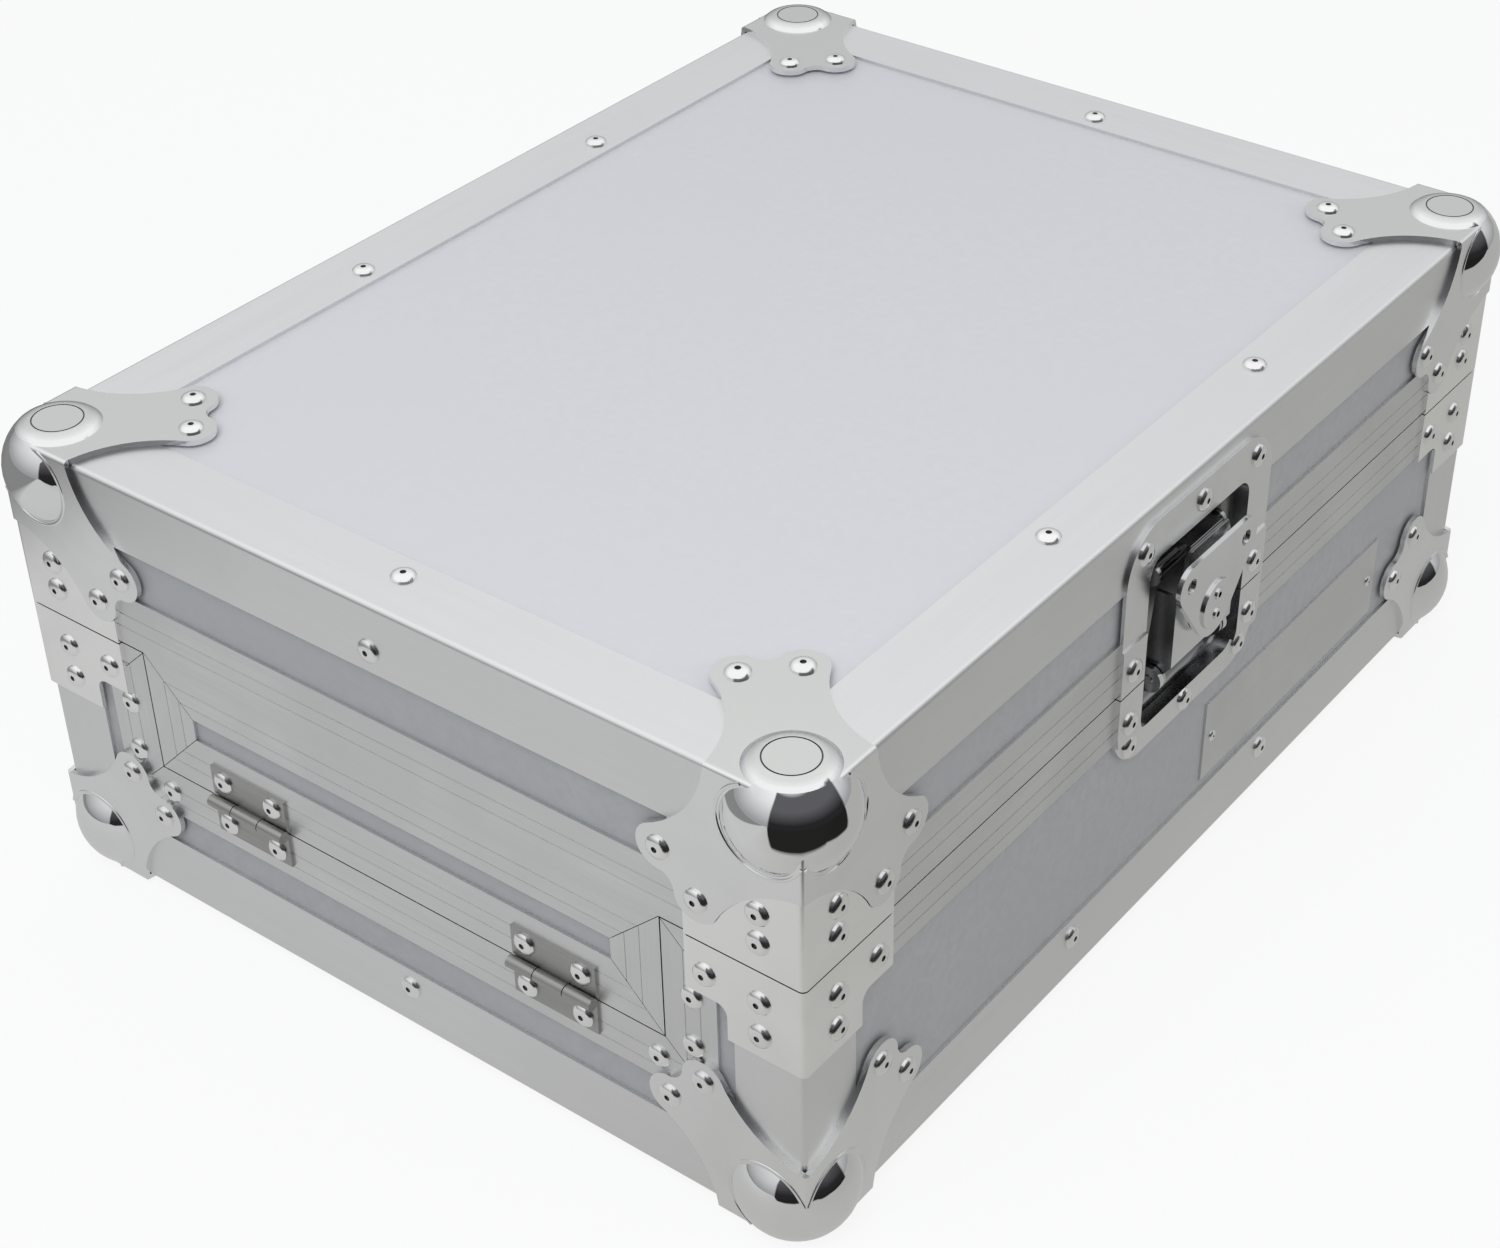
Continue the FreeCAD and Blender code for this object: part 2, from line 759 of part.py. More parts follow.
def brace_rivets():
    """The rivets through the braces of the lid and the base."""
    for x, y in corner_signs:
        for face, half, sign in (("right" if x > 0 else "left", half_depth, y),
                                 ("rear" if y > 0 else "front", half_width, x)):
            near = sign * (half - brace_rivet_inset)
            for level in (lid_rim + lid_brace_rivet_rise, top_level - lid_brace_rivet_depth):
                add_rivet("lid", face, near, level, brace_thickness)
            for drop in base_brace_rivet_drops:
                add_rivet("base", face, near, base_rim - drop, brace_thickness)
            add_rivet("base", face, sign * (half - brace_outer_rivet_inset), base_rim
                      - base_brace_rivet_drops[0], brace_thickness)


def edge_rivets():
    """Single rivets along the edge angles and the rear opening's frame."""
    low = floor_level + edge_rivet_inset
    high = top_level - edge_rivet_inset
    for face in ("front", "rear"):
        add_rivet("lid", face, 0, high, 0)
        add_rivet("base", face, 0, low, 0)
    for sign in (-1, 1):
        for body, flat in (("lid", "top"), ("base", "bottom")):
            add_rivet(body, flat, 0, sign * (half_depth - edge_rivet_inset), 0)
            for y in (-long_edge_rivet_offset, long_edge_rivet_offset):
                add_rivet(body, flat, sign * (half_width - edge_rivet_inset), y, 0)
        for face in ("left", "right"):
            add_rivet("base", face, sign * long_edge_rivet_offset, low, 0)
        add_rivet("base", "rear", sign * (flap_half_width - opening_rail_rivet_inset),
                  opening_sill - opening_rail_rivet_drop, 0)
        for drop in stile_rivet_drops:
            add_rivet("base", "rear", sign * (opening_edge + stile_rivet_offset), base_rim - drop, 0)


# Hinges
def hinge_leaf(offset, upward):
    """One leaf with its knuckles: the lid's leaf has the middle one, the base's the outer two."""
    centre = Vector(offset, hinge_axis_y, hinge_level)
    near = hinge_level + upward * hinge_leaf_gap
    far = hinge_level + upward * hinge_leaf_height
    plate = block((offset - hinge_width / 2, offset + hinge_width / 2),
                  (half_depth, half_depth + hinge_leaf_thickness), (near, far))
    half_middle = hinge_middle_knuckle / 2
    half = hinge_width / 2
    if upward > 0:
        own = [(-half_middle, half_middle)]
        others = [(-half, -half_middle), (half_middle, half)]
    else:
        own = [(-half, -half_middle - hinge_knuckle_gap), (half_middle + hinge_knuckle_gap, half)]
        others = [(-half_middle - hinge_knuckle_gap, half_middle + hinge_knuckle_gap)]
    along = Vector(1, 0, 0)
    clear = hinge_knuckle_radius + hinge_knuckle_gap

    def barrels(spans, radius):
        return [rod(centre + along * start, centre + along * end, radius) for start, end in spans]

    plate = without(plate, barrels(others, clear))
    leaf = joined([plate] + barrels(own, hinge_knuckle_radius))
    bore = hinge_pin_radius + hinge_running_clearance
    return leaf.cut(rod(centre - along * hinge_width, centre + along * hinge_width, bore))


def hinge_pin(offset):
    """The pin through a hinge's knuckles."""
    half = Vector(hinge_width / 2, 0, 0)
    centre = Vector(offset, hinge_axis_y, hinge_level)
    return rod(centre - half, centre + half, hinge_pin_radius)


def hinge_rivets():
    """Two rivets in each leaf."""
    for sign in (-1, 1):
        for x in (-hinge_rivet_spacing / 2, hinge_rivet_spacing / 2):
            place = sign * hinge_offset + x
            add_rivet("lid", "rear", place, hinge_level + hinge_rivet_rise, hinge_leaf_thickness)
            add_rivet("base", "rear", place, hinge_level - hinge_rivet_rise, hinge_leaf_thickness)


# Latches, made on the left end, where height out of the face is along -X
def latch_block(proud, y, z):
    """A box on the left end from heights out of the face, places along it and levels."""
    return block((-half_width - proud[0], -half_width - proud[1]), y, z)


def latch_rod(start, end, place, radius, level):
    """A round bar square to the left end."""
    return rod(Vector(-half_width - start, place, level), Vector(-half_width - end, place, level), radius)


def latch_cross_rod(proud, level, half_length, radius):
    """A round bar along the left end."""
    centre = -half_width - proud
    return rod(Vector(centre, -half_length, level), Vector(centre, half_length, level), radius)


def rounded_slab(shape, axis_length, radius):
    """A box with its four edges along one axis rounded."""
    edges = edges_where(shape, lambda box: box.DiagonalLength - axis_length(box) < foot_fit_gap)
    return shape.makeFillet(radius, edges)


def dish_recess(face, run, z, depth, radius, floor_round):
    """A rounded pocket in a side, open to the outside, with a rounded floor when asked."""
    shape = side_band(face, depth, -cut_overrun, z[0], z[1], run)
    along = (lambda box: box.XLength) if face == "left" else (lambda box: box.YLength)
    shape = rounded_slab(shape, along, radius)
    if floor_round:
        floor = on_face(face, 0, 0, -depth)
        flat = (lambda box: abs(box.XMin - floor.x) + abs(box.XMax - floor.x)) if face == "left" else (
            lambda box: abs(box.YMin - floor.y) + abs(box.YMax - floor.y))
        shape = shape.makeFillet(floor_round, edges_where(shape, lambda box: flat(box) < foot_fit_gap))
    return shape


recess_half_width = arm_half_width + recess_side_room
latch_half_width = recess_half_width + latch_side_flange
latch_pin_level = parting_level - latch_pin_drop
latch_top = top_level - latch_top_margin
recess_levels = (latch_pin_level - recess_low_room, latch_top - latch_high_flange)
latch_foot = recess_levels[0] - latch_low_flange
dish_levels = (recess_levels[0] - dish_wall, recess_levels[1] + dish_wall)
latch_hole_levels = (dish_levels[0] - dish_fit_gap, dish_levels[1] + dish_fit_gap)
keeper_level = recess_levels[1] - keeper_top_room
hub_level = keeper_level - hub_drop


def latch_cutout(depth):
    """The hole in the left end, of some depth, that the latch dish drops into."""
    return dish_recess("left", recess_half_width + dish_wall + dish_fit_gap, latch_hole_levels, depth,
                       recess_corner_radius + dish_wall, 0)


def latch_dish():
    """The pressed dish before it is parted: a cranked flange and a rounded pan."""
    flange = latch_block((-angle_thickness, latch_crank_thickness), (-latch_half_width, latch_half_width),
                         (latch_foot, latch_top))
    flange = rounded_slab(flange, lambda box: box.XLength, latch_corner_radius)
    wide = (-case_depth, case_depth)
    crank_low, crank_high = parting_level - latch_crank_below, parting_level + latch_crank_above
    over = latch_crank_thickness + cut_overrun
    flange = without(flange, [
        latch_block((-wall_depth, 0), wide, (base_lip - dish_fit_gap, top_level)),
        latch_block((latch_low_flange_proud, over), wide, (floor_level, crank_low)),
        latch_block((latch_flange, over), wide, (crank_high, top_level)),
    ])
    pan = dish_recess("left", recess_half_width + dish_wall, dish_levels, recess_depth + dish_wall,
                      recess_corner_radius + dish_wall, 0)
    pan = pan.common(latch_block((-wall_depth, 0), wide, (floor_level, top_level)))
    pocket = dish_recess("left", recess_half_width, recess_levels, recess_depth, recess_corner_radius,
                         recess_floor_radius)
    return joined([flange, pan]).cut(pocket)


def latch_halves():
    """The lid's half of the dish, and the base's half with its two ears for the arm's pin."""
    dish = latch_dish()
    wide = (-case_depth, case_depth)
    tall = (-wall_depth - cut_overrun, latch_crank_thickness + cut_overrun)
    upper = dish.common(latch_block(tall, wide, (lid_rim, top_level)))
    lower = dish.common(latch_block(tall, wide, (floor_level, base_rim)))
    inner = arm_half_width + arm_ear_gap
    outer = inner + latch_ear_thickness
    ears = []
    for sign in (-1, 1):
        span = (sign * inner, sign * outer)
        stem = latch_block((-recess_depth - dish_wall / 2, -latch_pin_depth), span,
                           (latch_pin_level - latch_ear_radius, latch_pin_level + latch_ear_radius))
        eye = latch_cross_rod(-latch_pin_depth, latch_pin_level, outer, latch_ear_radius).common(
            latch_block(tall, span, (floor_level, top_level)))
        ears += [stem, eye]
    lower = joined([lower] + ears)
    bore = latch_pin_radius + latch_running_clearance
    return upper, lower.cut(latch_cross_rod(-latch_pin_depth, latch_pin_level, outer + cut_overrun, bore))


def latch_pin():
    """The pin that the arm swings on."""
    half = arm_half_width + arm_ear_gap + latch_ear_thickness + latch_pin_overhang
    return latch_cross_rod(-latch_pin_depth, latch_pin_level, half, latch_pin_radius)


def latch_keeper():
    """The bar that the claw catches, between two ears on the lid dish's floor."""
    outer = keeper_ear_inner + keeper_ear_thickness
    pieces = [latch_cross_rod(-keeper_depth, keeper_level, keeper_ear_inner + keeper_ear_thickness / 2,
                              keeper_bar_radius)]
    for sign in (-1, 1):
        span = (sign * keeper_ear_inner, sign * outer)
        pieces.append(latch_block((-recess_depth, -keeper_depth), span,
                                  (keeper_level - keeper_ear_radius, keeper_level + keeper_ear_radius)))
        eye = latch_cross_rod(-keeper_depth, keeper_level, outer, keeper_ear_radius)
        shell = latch_block((-recess_depth, keeper_ear_radius), span, (floor_level, top_level))
        pieces.append(eye.common(shell))
    return joined(pieces)


def latch_arm():
    """A channel that swings on the pin: two side walls, a web for the hub, and the claw's guides."""
    web_low = parting_level - arm_web_drop
    wall_top = keeper_level - arm_wall_top_drop
    shoulder = keeper_level - arm_web_shoulder_drop
    inner_face = arm_web_proud - arm_web_thickness
    pieces = []
    for sign in (-1, 1):
        span = (sign * arm_half_width, sign * (arm_half_width - arm_wall))
        outline = [(-arm_wall_low_depth, latch_pin_level), (-arm_wall_top_depth, wall_top),
                   (arm_web_proud, wall_top), (arm_web_proud, web_low), (0, latch_pin_level)]
        points = [Vector(-half_width - proud, min(span), level) for proud, level in outline]
        pieces.append(prism(points, Vector(0, arm_wall, 0)))
        heel = latch_cross_rod(-latch_pin_depth, latch_pin_level, arm_half_width, arm_heel_radius)
        pieces.append(heel.common(latch_block((-wall_depth, arm_web_proud), span, (floor_level, top_level))))
        guide = claw_half_width + claw_side_gap
        pieces.append(latch_block((inner_face - arm_guide_height, inner_face),
                                  (sign * guide, sign * (guide + arm_guide_width)),
                                  (parting_level + arm_guide_low_rise, shoulder)))
    top = keeper_level + arm_web_overhang
    half = [(arm_half_width, web_low), (arm_half_width, shoulder), (arm_web_top_half_width, top)]
    outline = half + [(-y, z) for y, z in reversed(half)]
    points = [Vector(-half_width - inner_face, y, z) for y, z in outline]
    pieces.append(prism(points, Vector(-arm_web_thickness, 0, 0)))
    arm = joined(pieces)
    bore = latch_pin_radius + latch_running_clearance
    shaft = hub_shaft_radius + latch_running_clearance
    return without(arm, [
        latch_cross_rod(-latch_pin_depth, latch_pin_level, arm_half_width + cut_overrun, bore),
        latch_rod(0, arm_web_proud + cut_overrun, 0, shaft, hub_level),
    ])


claw_outer_face = arm_web_proud - arm_web_thickness - claw_face_gap
claw_inner_face = claw_outer_face - claw_thickness
claw_lip_level = keeper_level + keeper_bar_radius + claw_grip_gap + claw_stroke
crank_offset = claw_stroke / 2


def latch_claw():
    """The sliding hook, shown at the top of its stroke, with the crank's slot."""
    top = claw_lip_level + claw_lip_thickness
    plate = latch_block((claw_inner_face, claw_outer_face), (-claw_half_width, claw_half_width),
                        (parting_level + claw_low_rise, top))
    tip = keeper_bar_radius - keeper_depth + claw_release_gap
    lip = latch_block((tip, claw_outer_face), (-claw_half_width, claw_half_width), (claw_lip_level, top))
    slot_half = crank_pin_radius + crank_slot_clearance
    level = hub_level + crank_offset
    slot = latch_block((claw_inner_face - cut_overrun, claw_outer_face + cut_overrun),
                       (-crank_offset - slot_half, crank_offset + slot_half),
                       (level - slot_half, level + slot_half))
    return joined([plate, lip]).cut(slot)


def latch_hub():
    """The turning hub with its shaft, crank pin and the two rivets that hold the wing."""
    base = arm_web_proud + hub_gap
    boss = base + hub_base_height
    top = boss + hub_boss_height
    shaft_end = claw_outer_face + claw_face_gap / 2
    pieces = [
        latch_rod(base, boss, 0, hub_base_radius, hub_level),
        latch_rod(boss, top, 0, hub_radius, hub_level),
        latch_rod(shaft_end, base, 0, hub_shaft_radius, hub_level),
        latch_rod(claw_inner_face - crank_pin_overhang, base, 0, crank_pin_radius, hub_level + crank_offset),
    ]
    holes = []
    for sign in (-1, 1):
        level = hub_level + sign * hub_rivet_offset
        pieces.append(latch_rod(top, top + hub_rivet_height, 0, hub_rivet_radius, level))
        holes.append(latch_rod(top, top + hub_rivet_height + cut_overrun, 0, hub_rivet_bore, level))
    return without(joined(pieces), holes)


def tangent_hull(circles, proud, thickness):
    """A plate round three circles, each a place along the end, a level and a radius, in turning order."""
    pieces = []
    for y, z, radius in circles:
        pieces.append(latch_rod(proud, proud + thickness, y, radius, z))
    points = []
    count = len(circles)
    for index in range(count):
        (y0, z0, r0), (y1, z1, r1) = circles[index], circles[(index + 1) % count]
        span = math.hypot(y1 - y0, z1 - z0)
        heading = math.atan2(z1 - z0, y1 - y0)
        swing = heading - math.acos((r0 - r1) / span)
        for y, z, radius in ((y0, z0, r0), (y1, z1, r1)):
            points.append(Vector(-half_width - proud, y + radius * math.cos(swing),
                                 z + radius * math.sin(swing)))
    pieces.append(prism(points, Vector(-thickness, 0, 0)))
    return joined(pieces)


def latch_wing():
    """The butterfly wing: a plate with two drilled lobes, held on the hub."""
    proud = arm_web_proud + hub_gap + hub_base_height
    level = hub_level + wing_lobe_rise
    circles = [(0, hub_level, wing_heel_radius), (wing_lobe_offset, level, wing_lobe_radius),
               (-wing_lobe_offset, level, wing_lobe_radius)]
    plate = tangent_hull(circles, proud, wing_thickness)
    over = proud + wing_thickness + cut_overrun
    holes = [latch_rod(0, over, 0, hub_radius + wing_fit_gap, hub_level)]
    for y in (-wing_lobe_offset, wing_lobe_offset):
        holes.append(latch_rod(0, over, y, wing_hole_radius, level))
    return without(plate, holes)


def latch_rivets():
    """The rivets round both halves of each latch."""
    for face in ("left", "right"):
        for sign in (-1, 1):
            corner = sign * (latch_half_width - latch_corner_rivet_inset)
            side = sign * (latch_half_width - latch_side_rivet_inset)
            add_rivet("lid", face, corner, latch_top - latch_upper_rivet_inset, latch_flange)
            add_rivet("lid", face, side, parting_level + latch_side_rivet_rise, latch_crank_thickness)
            add_rivet("base", face, side, parting_level - latch_side_rivet_drop, latch_crank_thickness)
            add_rivet("base", face, corner, latch_foot + latch_lower_rivet_inset, latch_low_flange_proud)
        add_rivet("lid", face, 0, latch_top - latch_top_rivet_inset, latch_flange)
        add_rivet("base", face, 0, latch_foot + latch_bottom_rivet_inset, latch_low_flange_proud)


def both_ends(shape):
    """A left-end shape and its twin on the right end."""
    return [shape, mirrored(shape, Vector(1, 0, 0))]


# Front handle
handle_recess_levels = (floor_level + angle_leg + handle_recess_margin, base_lip - handle_recess_margin)
handle_levels = (handle_recess_levels[0] - handle_low_flange, handle_recess_levels[1] + handle_high_flange)
handle_half_width = handle_recess_half_width + handle_side_flange
handle_arm_offset = handle_recess_half_width - handle_arm_inset
handle_grip_half_length = handle_arm_offset - handle_arm_thickness / 2 - handle_grip_end_gap
handle_pivot_level = handle_recess_levels[1] - handle_pivot_drop
handle_bar_level = handle_recess_levels[0] + handle_bar_rise


def handle_rod(start, end, depth, level, radius):
    """A round bar along the front, at a depth inside its face."""
    y = -half_depth + depth
    return rod(Vector(start, y, level), Vector(end, y, level), radius)


def handle_cutout():
    """The hole in the front panel for the handle's dish."""
    low, high = handle_recess_levels
    margin = dish_wall + dish_fit_gap
    return dish_recess("front", handle_recess_half_width + margin, (low - margin, high + margin), wall_depth,
                       recess_corner_radius + dish_wall, 0)


def handle_dish():
    """The dish behind the handle, with a lug at each end of its pivot."""
    low, high = handle_recess_levels
    flange = block((-handle_half_width, handle_half_width),
                   (-half_depth + angle_thickness, -half_depth - handle_flange), handle_levels)
    flange = rounded_slab(flange, lambda box: box.YLength, handle_corner_radius)
    flange = without(flange, [
        side_band("front", 0, wall_depth, floor_level, floor_level + angle_leg + dish_fit_gap, half_width),
        side_band("front", 0, wall_depth, base_lip - dish_fit_gap, top_level, half_width),
    ])
    pan = dish_recess("front", handle_recess_half_width + dish_wall, (low - dish_wall, high + dish_wall),
                      recess_depth + dish_wall, recess_corner_radius + dish_wall, 0)
    pan = pan.common(side_band("front", 0, wall_depth, floor_level, top_level, half_width))
    pocket = dish_recess("front", handle_recess_half_width, handle_recess_levels, recess_depth,
                         recess_corner_radius, recess_floor_radius)
    dish = joined([flange, pan]).cut(pocket)
    lugs = []
    inner = handle_arm_offset + handle_arm_thickness / 2 + handle_lug_gap
    outer = inner + handle_lug_thickness
    depths = (-half_depth + handle_pivot_depth, -half_depth + recess_depth + dish_wall / 2)
    levels = (handle_pivot_level - handle_lug_radius, handle_pivot_level + handle_lug_radius)
    for sign in (-1, 1):
        lugs.append(block((sign * inner, sign * outer), depths, levels))
        lugs.append(handle_rod(sign * inner, sign * outer, handle_pivot_depth, handle_pivot_level,
                               handle_lug_radius))
    dish = joined([dish] + lugs)
    bore = handle_pin_radius + handle_running_clearance
    return dish.cut(handle_rod(-outer, outer, handle_pivot_depth, handle_pivot_level, bore))


def handle_pins():
    """The two short pins that the handle swings on."""
    inner = handle_arm_offset - handle_arm_thickness / 2
    outer = handle_arm_offset + handle_arm_thickness / 2 + handle_lug_gap + handle_lug_thickness
    return [handle_rod(sign * inner, sign * outer, handle_pivot_depth, handle_pivot_level, handle_pin_radius)
            for sign in (-1, 1)]


def handle_bail():
    """The steel bail: two arms and the bar that the grip is pushed on."""
    half = handle_arm_thickness / 2
    pieces = []
    for sign in (-1, 1):
        span = (sign * (handle_arm_offset - half), sign * (handle_arm_offset + half))
        places = ((handle_pivot_depth, handle_pivot_level), (handle_bar_depth, handle_bar_level))
        for depth, level in places:
            pieces.append(handle_rod(span[0], span[1], depth, level, handle_arm_radius))
        (top_depth, top), (low_depth, low) = places
        outline = [(top_depth - handle_arm_radius, top), (top_depth + handle_arm_radius, top),
                   (low_depth + handle_arm_radius, low), (low_depth - handle_arm_radius, low)]
        points = [Vector(min(span), -half_depth + depth, level) for depth, level in outline]
        pieces.append(prism(points, Vector(handle_arm_thickness, 0, 0)))
    pieces.append(handle_rod(-handle_arm_offset, handle_arm_offset, handle_bar_depth, handle_bar_level,
                             handle_bar_radius))
    bail = joined(pieces)
    bore = handle_pin_radius + handle_running_clearance
    return bail.cut(handle_rod(-half_width, half_width, handle_pivot_depth, handle_pivot_level, bore))


def handle_grip():
    """The rubber grip round the bail's bar."""
    outer = handle_rod(-handle_grip_half_length, handle_grip_half_length, handle_bar_depth, handle_bar_level,
                       handle_grip_radius)
    return outer.cut(handle_rod(-half_width, half_width, handle_bar_depth, handle_bar_level,
                                handle_bar_radius + handle_running_clearance))


def handle_rivets():
    """Six rivets round the handle's flange."""
    low, high = handle_levels[0] + handle_rivet_inset, handle_levels[1] - handle_rivet_inset
    for sign in (-1, 1):
        for level in (low, (low + high) / 2, high):
            place = sign * (handle_half_width - handle_rivet_side_inset)
            add_rivet("base", "front", place, level, handle_flange)


# Label plate
def label_pin_places():
    """Where the label's two pins go on the left end."""
    half = label_length / 2 - label_pin_inset
    return [Vector(-half_width + angle_thickness, -label_offset + y, floor_level + label_centre_height)
            for y in (-half, half)]


def label_parts():
    """The blank label plate, its two pins, and the pins' holes."""
    level = floor_level + label_centre_height
    seat = -angle_thickness
    plate = latch_block((seat, seat + label_thickness),
                        (-label_offset - label_length / 2, -label_offset + label_length / 2),
                        (level - label_height / 2, level + label_height / 2))
    out = outward["left"]
    pins = []
    holes = []
    shank = label_pin_radius / 2
    for place in label_pin_places():
        top = place + out * label_thickness
        root = place - out * label_pin_reach
        head = rod(top, top + out * label_pin_height, label_pin_radius)
        pins.append(joined([head, rod(root, top, shank)]))
        holes.append(rod(root, top + out * cut_overrun, shank + rivet_hole_clearance))
    return plate, pins, holes


# Foam lining
def foam_walls(low, high, rear_high):
    """Foam strips on the four walls, with their own height at the rear."""
    strips = []
    for face in ("front", "rear", "left", "right"):
        run = half_run_of(face) - wall_depth
        if face in ("left", "right"):
            run -= wall_foam_thickness
        strips.append(side_band(face, wall_depth, wall_depth + wall_foam_thickness, low,
                                rear_high if face == "rear" else high, run))
    return strips


def foam_pad(low, high):
    """A flat pad that fills the inside in plan."""
    x, y = half_width - wall_depth, half_depth - wall_depth
    return block((-x, x), (-y, y), (low, high))


def solids_for(body):
    """All the nodes of the lid or of the base, as lists of solids, before drilling."""
    latch_holes = both_ends(latch_cutout(wall_depth))
    sawn_gaps = both_ends(latch_cutout(profile_depth + cut_overrun))
    if body == "lid":
        low, high = lid_rim + profile_web, top_level - wall_depth
        panels = {face: wall_panel(face, low, high) for face in ("front", "rear", "left", "right")}
        flap = flap_panel()
        top_rail, stiles, bottom_rail = flap_rails(flap)
        envelope = at_corners(joined(three_ways(foot_plate(foot_fit_gap, foot_thickness))), True)
        nodes = {
            "lid_top_panel": [flat_panel(high, top_level - angle_thickness)],
            "flap_panel": [flap],
            "flap_top_rail": [top_rail],
            "flap_stiles": stiles,
            "flap_bottom_rail": [bottom_rail],
            "lid_front_angle": [edge_angle("front", top_level, -1)],
            "lid_rear_angle": [edge_angle("rear", top_level, -1)],
            "lid_end_angles": [edge_angle(face, top_level, -1).cut(latch_holes)
                               for face in ("left", "right")],
            "lid_corner_angles": [corner_angle(x, y, lid_lip, top_level - angle_leg)
                                  for x, y in corner_signs],
            "lid_ball_corners": at_corners(ball_corner(), True),
            "lid_corner_braces": [brace(x, y, lid_rim, lid_rim + lid_brace_height).cut(envelope)
                                  for x, y in corner_signs],
            "lid_foam": [foam_pad(high - lid_foam_thickness, high)] + foam_walls(
                lid_lip + foam_edge_gap, high - lid_foam_thickness, high - lid_foam_thickness),
            "hinge_lid_leaves": [hinge_leaf(sign * hinge_offset, 1) for sign in (-1, 1)],
            "latch_lid_dishes": both_ends(latch_halves()[0]),
            "latch_keepers": both_ends(latch_keeper()),
        }
        for face, panel in panels.items():
            nodes["lid_%s_panel" % face] = [panel.cut(latch_holes)]
            nodes["lid_%s_profile" % face] = lid_profile(face, list(panels.values())).cut(sawn_gaps).Solids
        return nodes
    low, high = floor_level + wall_depth, base_rim - profile_web
    panels = {face: wall_panel(face, low, high) for face in ("front", "left", "right")}
    rear = base_rear_panel(low, high)
    walls = list(panels.values()) + [rear]
    stubs, stiles, rail = opening_frame(rear)
    label, label_pins, label_holes = label_parts()
    foam_low = low + base_foam_thickness
    nodes = {
        "base_bottom_panel": [flat_panel(floor_level + angle_thickness, low)],
        "base_rear_panel": [rear],
        "base_rear_profiles": stubs,
        "base_rear_stiles": stiles,
        "base_rear_rail": [rail],
        "base_front_angle": [edge_angle("front", floor_level, 1)],
        "base_rear_angle": [edge_angle("rear", floor_level, 1)],
        "base_end_angles": [edge_angle(face, floor_level, 1) for face in ("left", "right")],
        "base_corner_angles": [corner_angle(x, y, floor_level + angle_leg, base_lip)
                               for x, y in corner_signs],
        "base_ball_corners": at_corners(ball_corner(), False),
        "base_corner_braces": [base_brace(x, y) for x, y in corner_signs],
        "base_foam": [foam_pad(low, foam_low)] + foam_walls(foam_low, base_lip - foam_edge_gap,
                                                            opening_sill_low - foam_edge_gap),
        "hinge_base_leaves": [hinge_leaf(sign * hinge_offset, -1) for sign in (-1, 1)],
        "hinge_pins": [hinge_pin(sign * hinge_offset) for sign in (-1, 1)],
        "latch_base_dishes": both_ends(latch_halves()[1]),
        "latch_pins": both_ends(latch_pin()),
        "handle_dish": [handle_dish()],
        "handle_pins": handle_pins(),
    }
    for face, panel in panels.items():
        tools = latch_holes + [handle_cutout()] if face == "front" else latch_holes
        nodes["base_%s_panel" % face] = [panel.cut(tools)]
        nodes["base_%s_profile" % face] = base_profile(face, walls).cut(sawn_gaps).Solids
    nodes["label_plate"] = [label.cut(label_holes)]
    nodes["base_left_panel"] = [nodes["base_left_panel"][0].cut(label_holes)]
    nodes["base_rivets"] = label_pins
    return nodes


def moving_nodes():
    """The pieces of the latches and the handle that move by themselves."""
    nodes = {"handle_bail": [handle_bail()], "handle_grip": [handle_grip()]}
    made = {"arm": latch_arm(), "claw": latch_claw(), "hub": latch_hub(), "wing": latch_wing()}
    for name, shape in made.items():
        for end, solid in zip(("left", "right"), both_ends(shape)):
            nodes["%s_latch_%s" % (end, name)] = [solid]
    return nodes


def main():
    """Builds every node and writes one file for each."""
    ball_corner_rivets("lid", True)
    ball_corner_rivets("base", False)
    brace_rivets()
    edge_rivets()
    hinge_rivets()
    latch_rivets()
    handle_rivets()
    os.makedirs("parts", exist_ok=True)
    nodes = moving_nodes()
    for body in ("lid", "base"):
        holes = rivet_holes(body)
        fixed = solids_for(body)
        heads = fixed.pop("%s_rivets" % body, [])
        for name, solids in fixed.items():
            nodes[name] = [drilled(solid, holes) for solid in solids]
        nodes["%s_rivets" % body] = heads + rivet_set(body)
    for name, solids in sorted(nodes.items()):
        shape = Part.makeCompound(solids) if len(solids) > 1 else solids[0]
        shape.exportStep("parts/%s.step" % name)
        print(name, len(shape.Solids), "solids", round(shape.Volume), "mm3", shape.isValid())


main()
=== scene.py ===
"""Looks of the flight case: finishes of its pieces, its lining, grip and rivet heads, light and camera."""

import math

import bmesh
import bpy
from mathutils import Matrix, Vector


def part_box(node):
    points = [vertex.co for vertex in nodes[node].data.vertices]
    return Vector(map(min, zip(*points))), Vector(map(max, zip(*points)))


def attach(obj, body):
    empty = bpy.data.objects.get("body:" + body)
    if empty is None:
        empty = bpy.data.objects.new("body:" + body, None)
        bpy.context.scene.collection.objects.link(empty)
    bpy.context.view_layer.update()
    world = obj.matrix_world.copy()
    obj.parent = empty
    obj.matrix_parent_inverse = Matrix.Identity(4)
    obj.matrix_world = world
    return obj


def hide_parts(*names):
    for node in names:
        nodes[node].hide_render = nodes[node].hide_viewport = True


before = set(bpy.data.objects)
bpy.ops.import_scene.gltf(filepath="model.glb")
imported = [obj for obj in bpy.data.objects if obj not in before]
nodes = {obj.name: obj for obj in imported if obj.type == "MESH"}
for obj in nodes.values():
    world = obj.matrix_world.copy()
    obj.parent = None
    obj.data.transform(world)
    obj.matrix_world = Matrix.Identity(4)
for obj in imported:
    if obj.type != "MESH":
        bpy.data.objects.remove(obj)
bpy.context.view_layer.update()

MM = 0.001

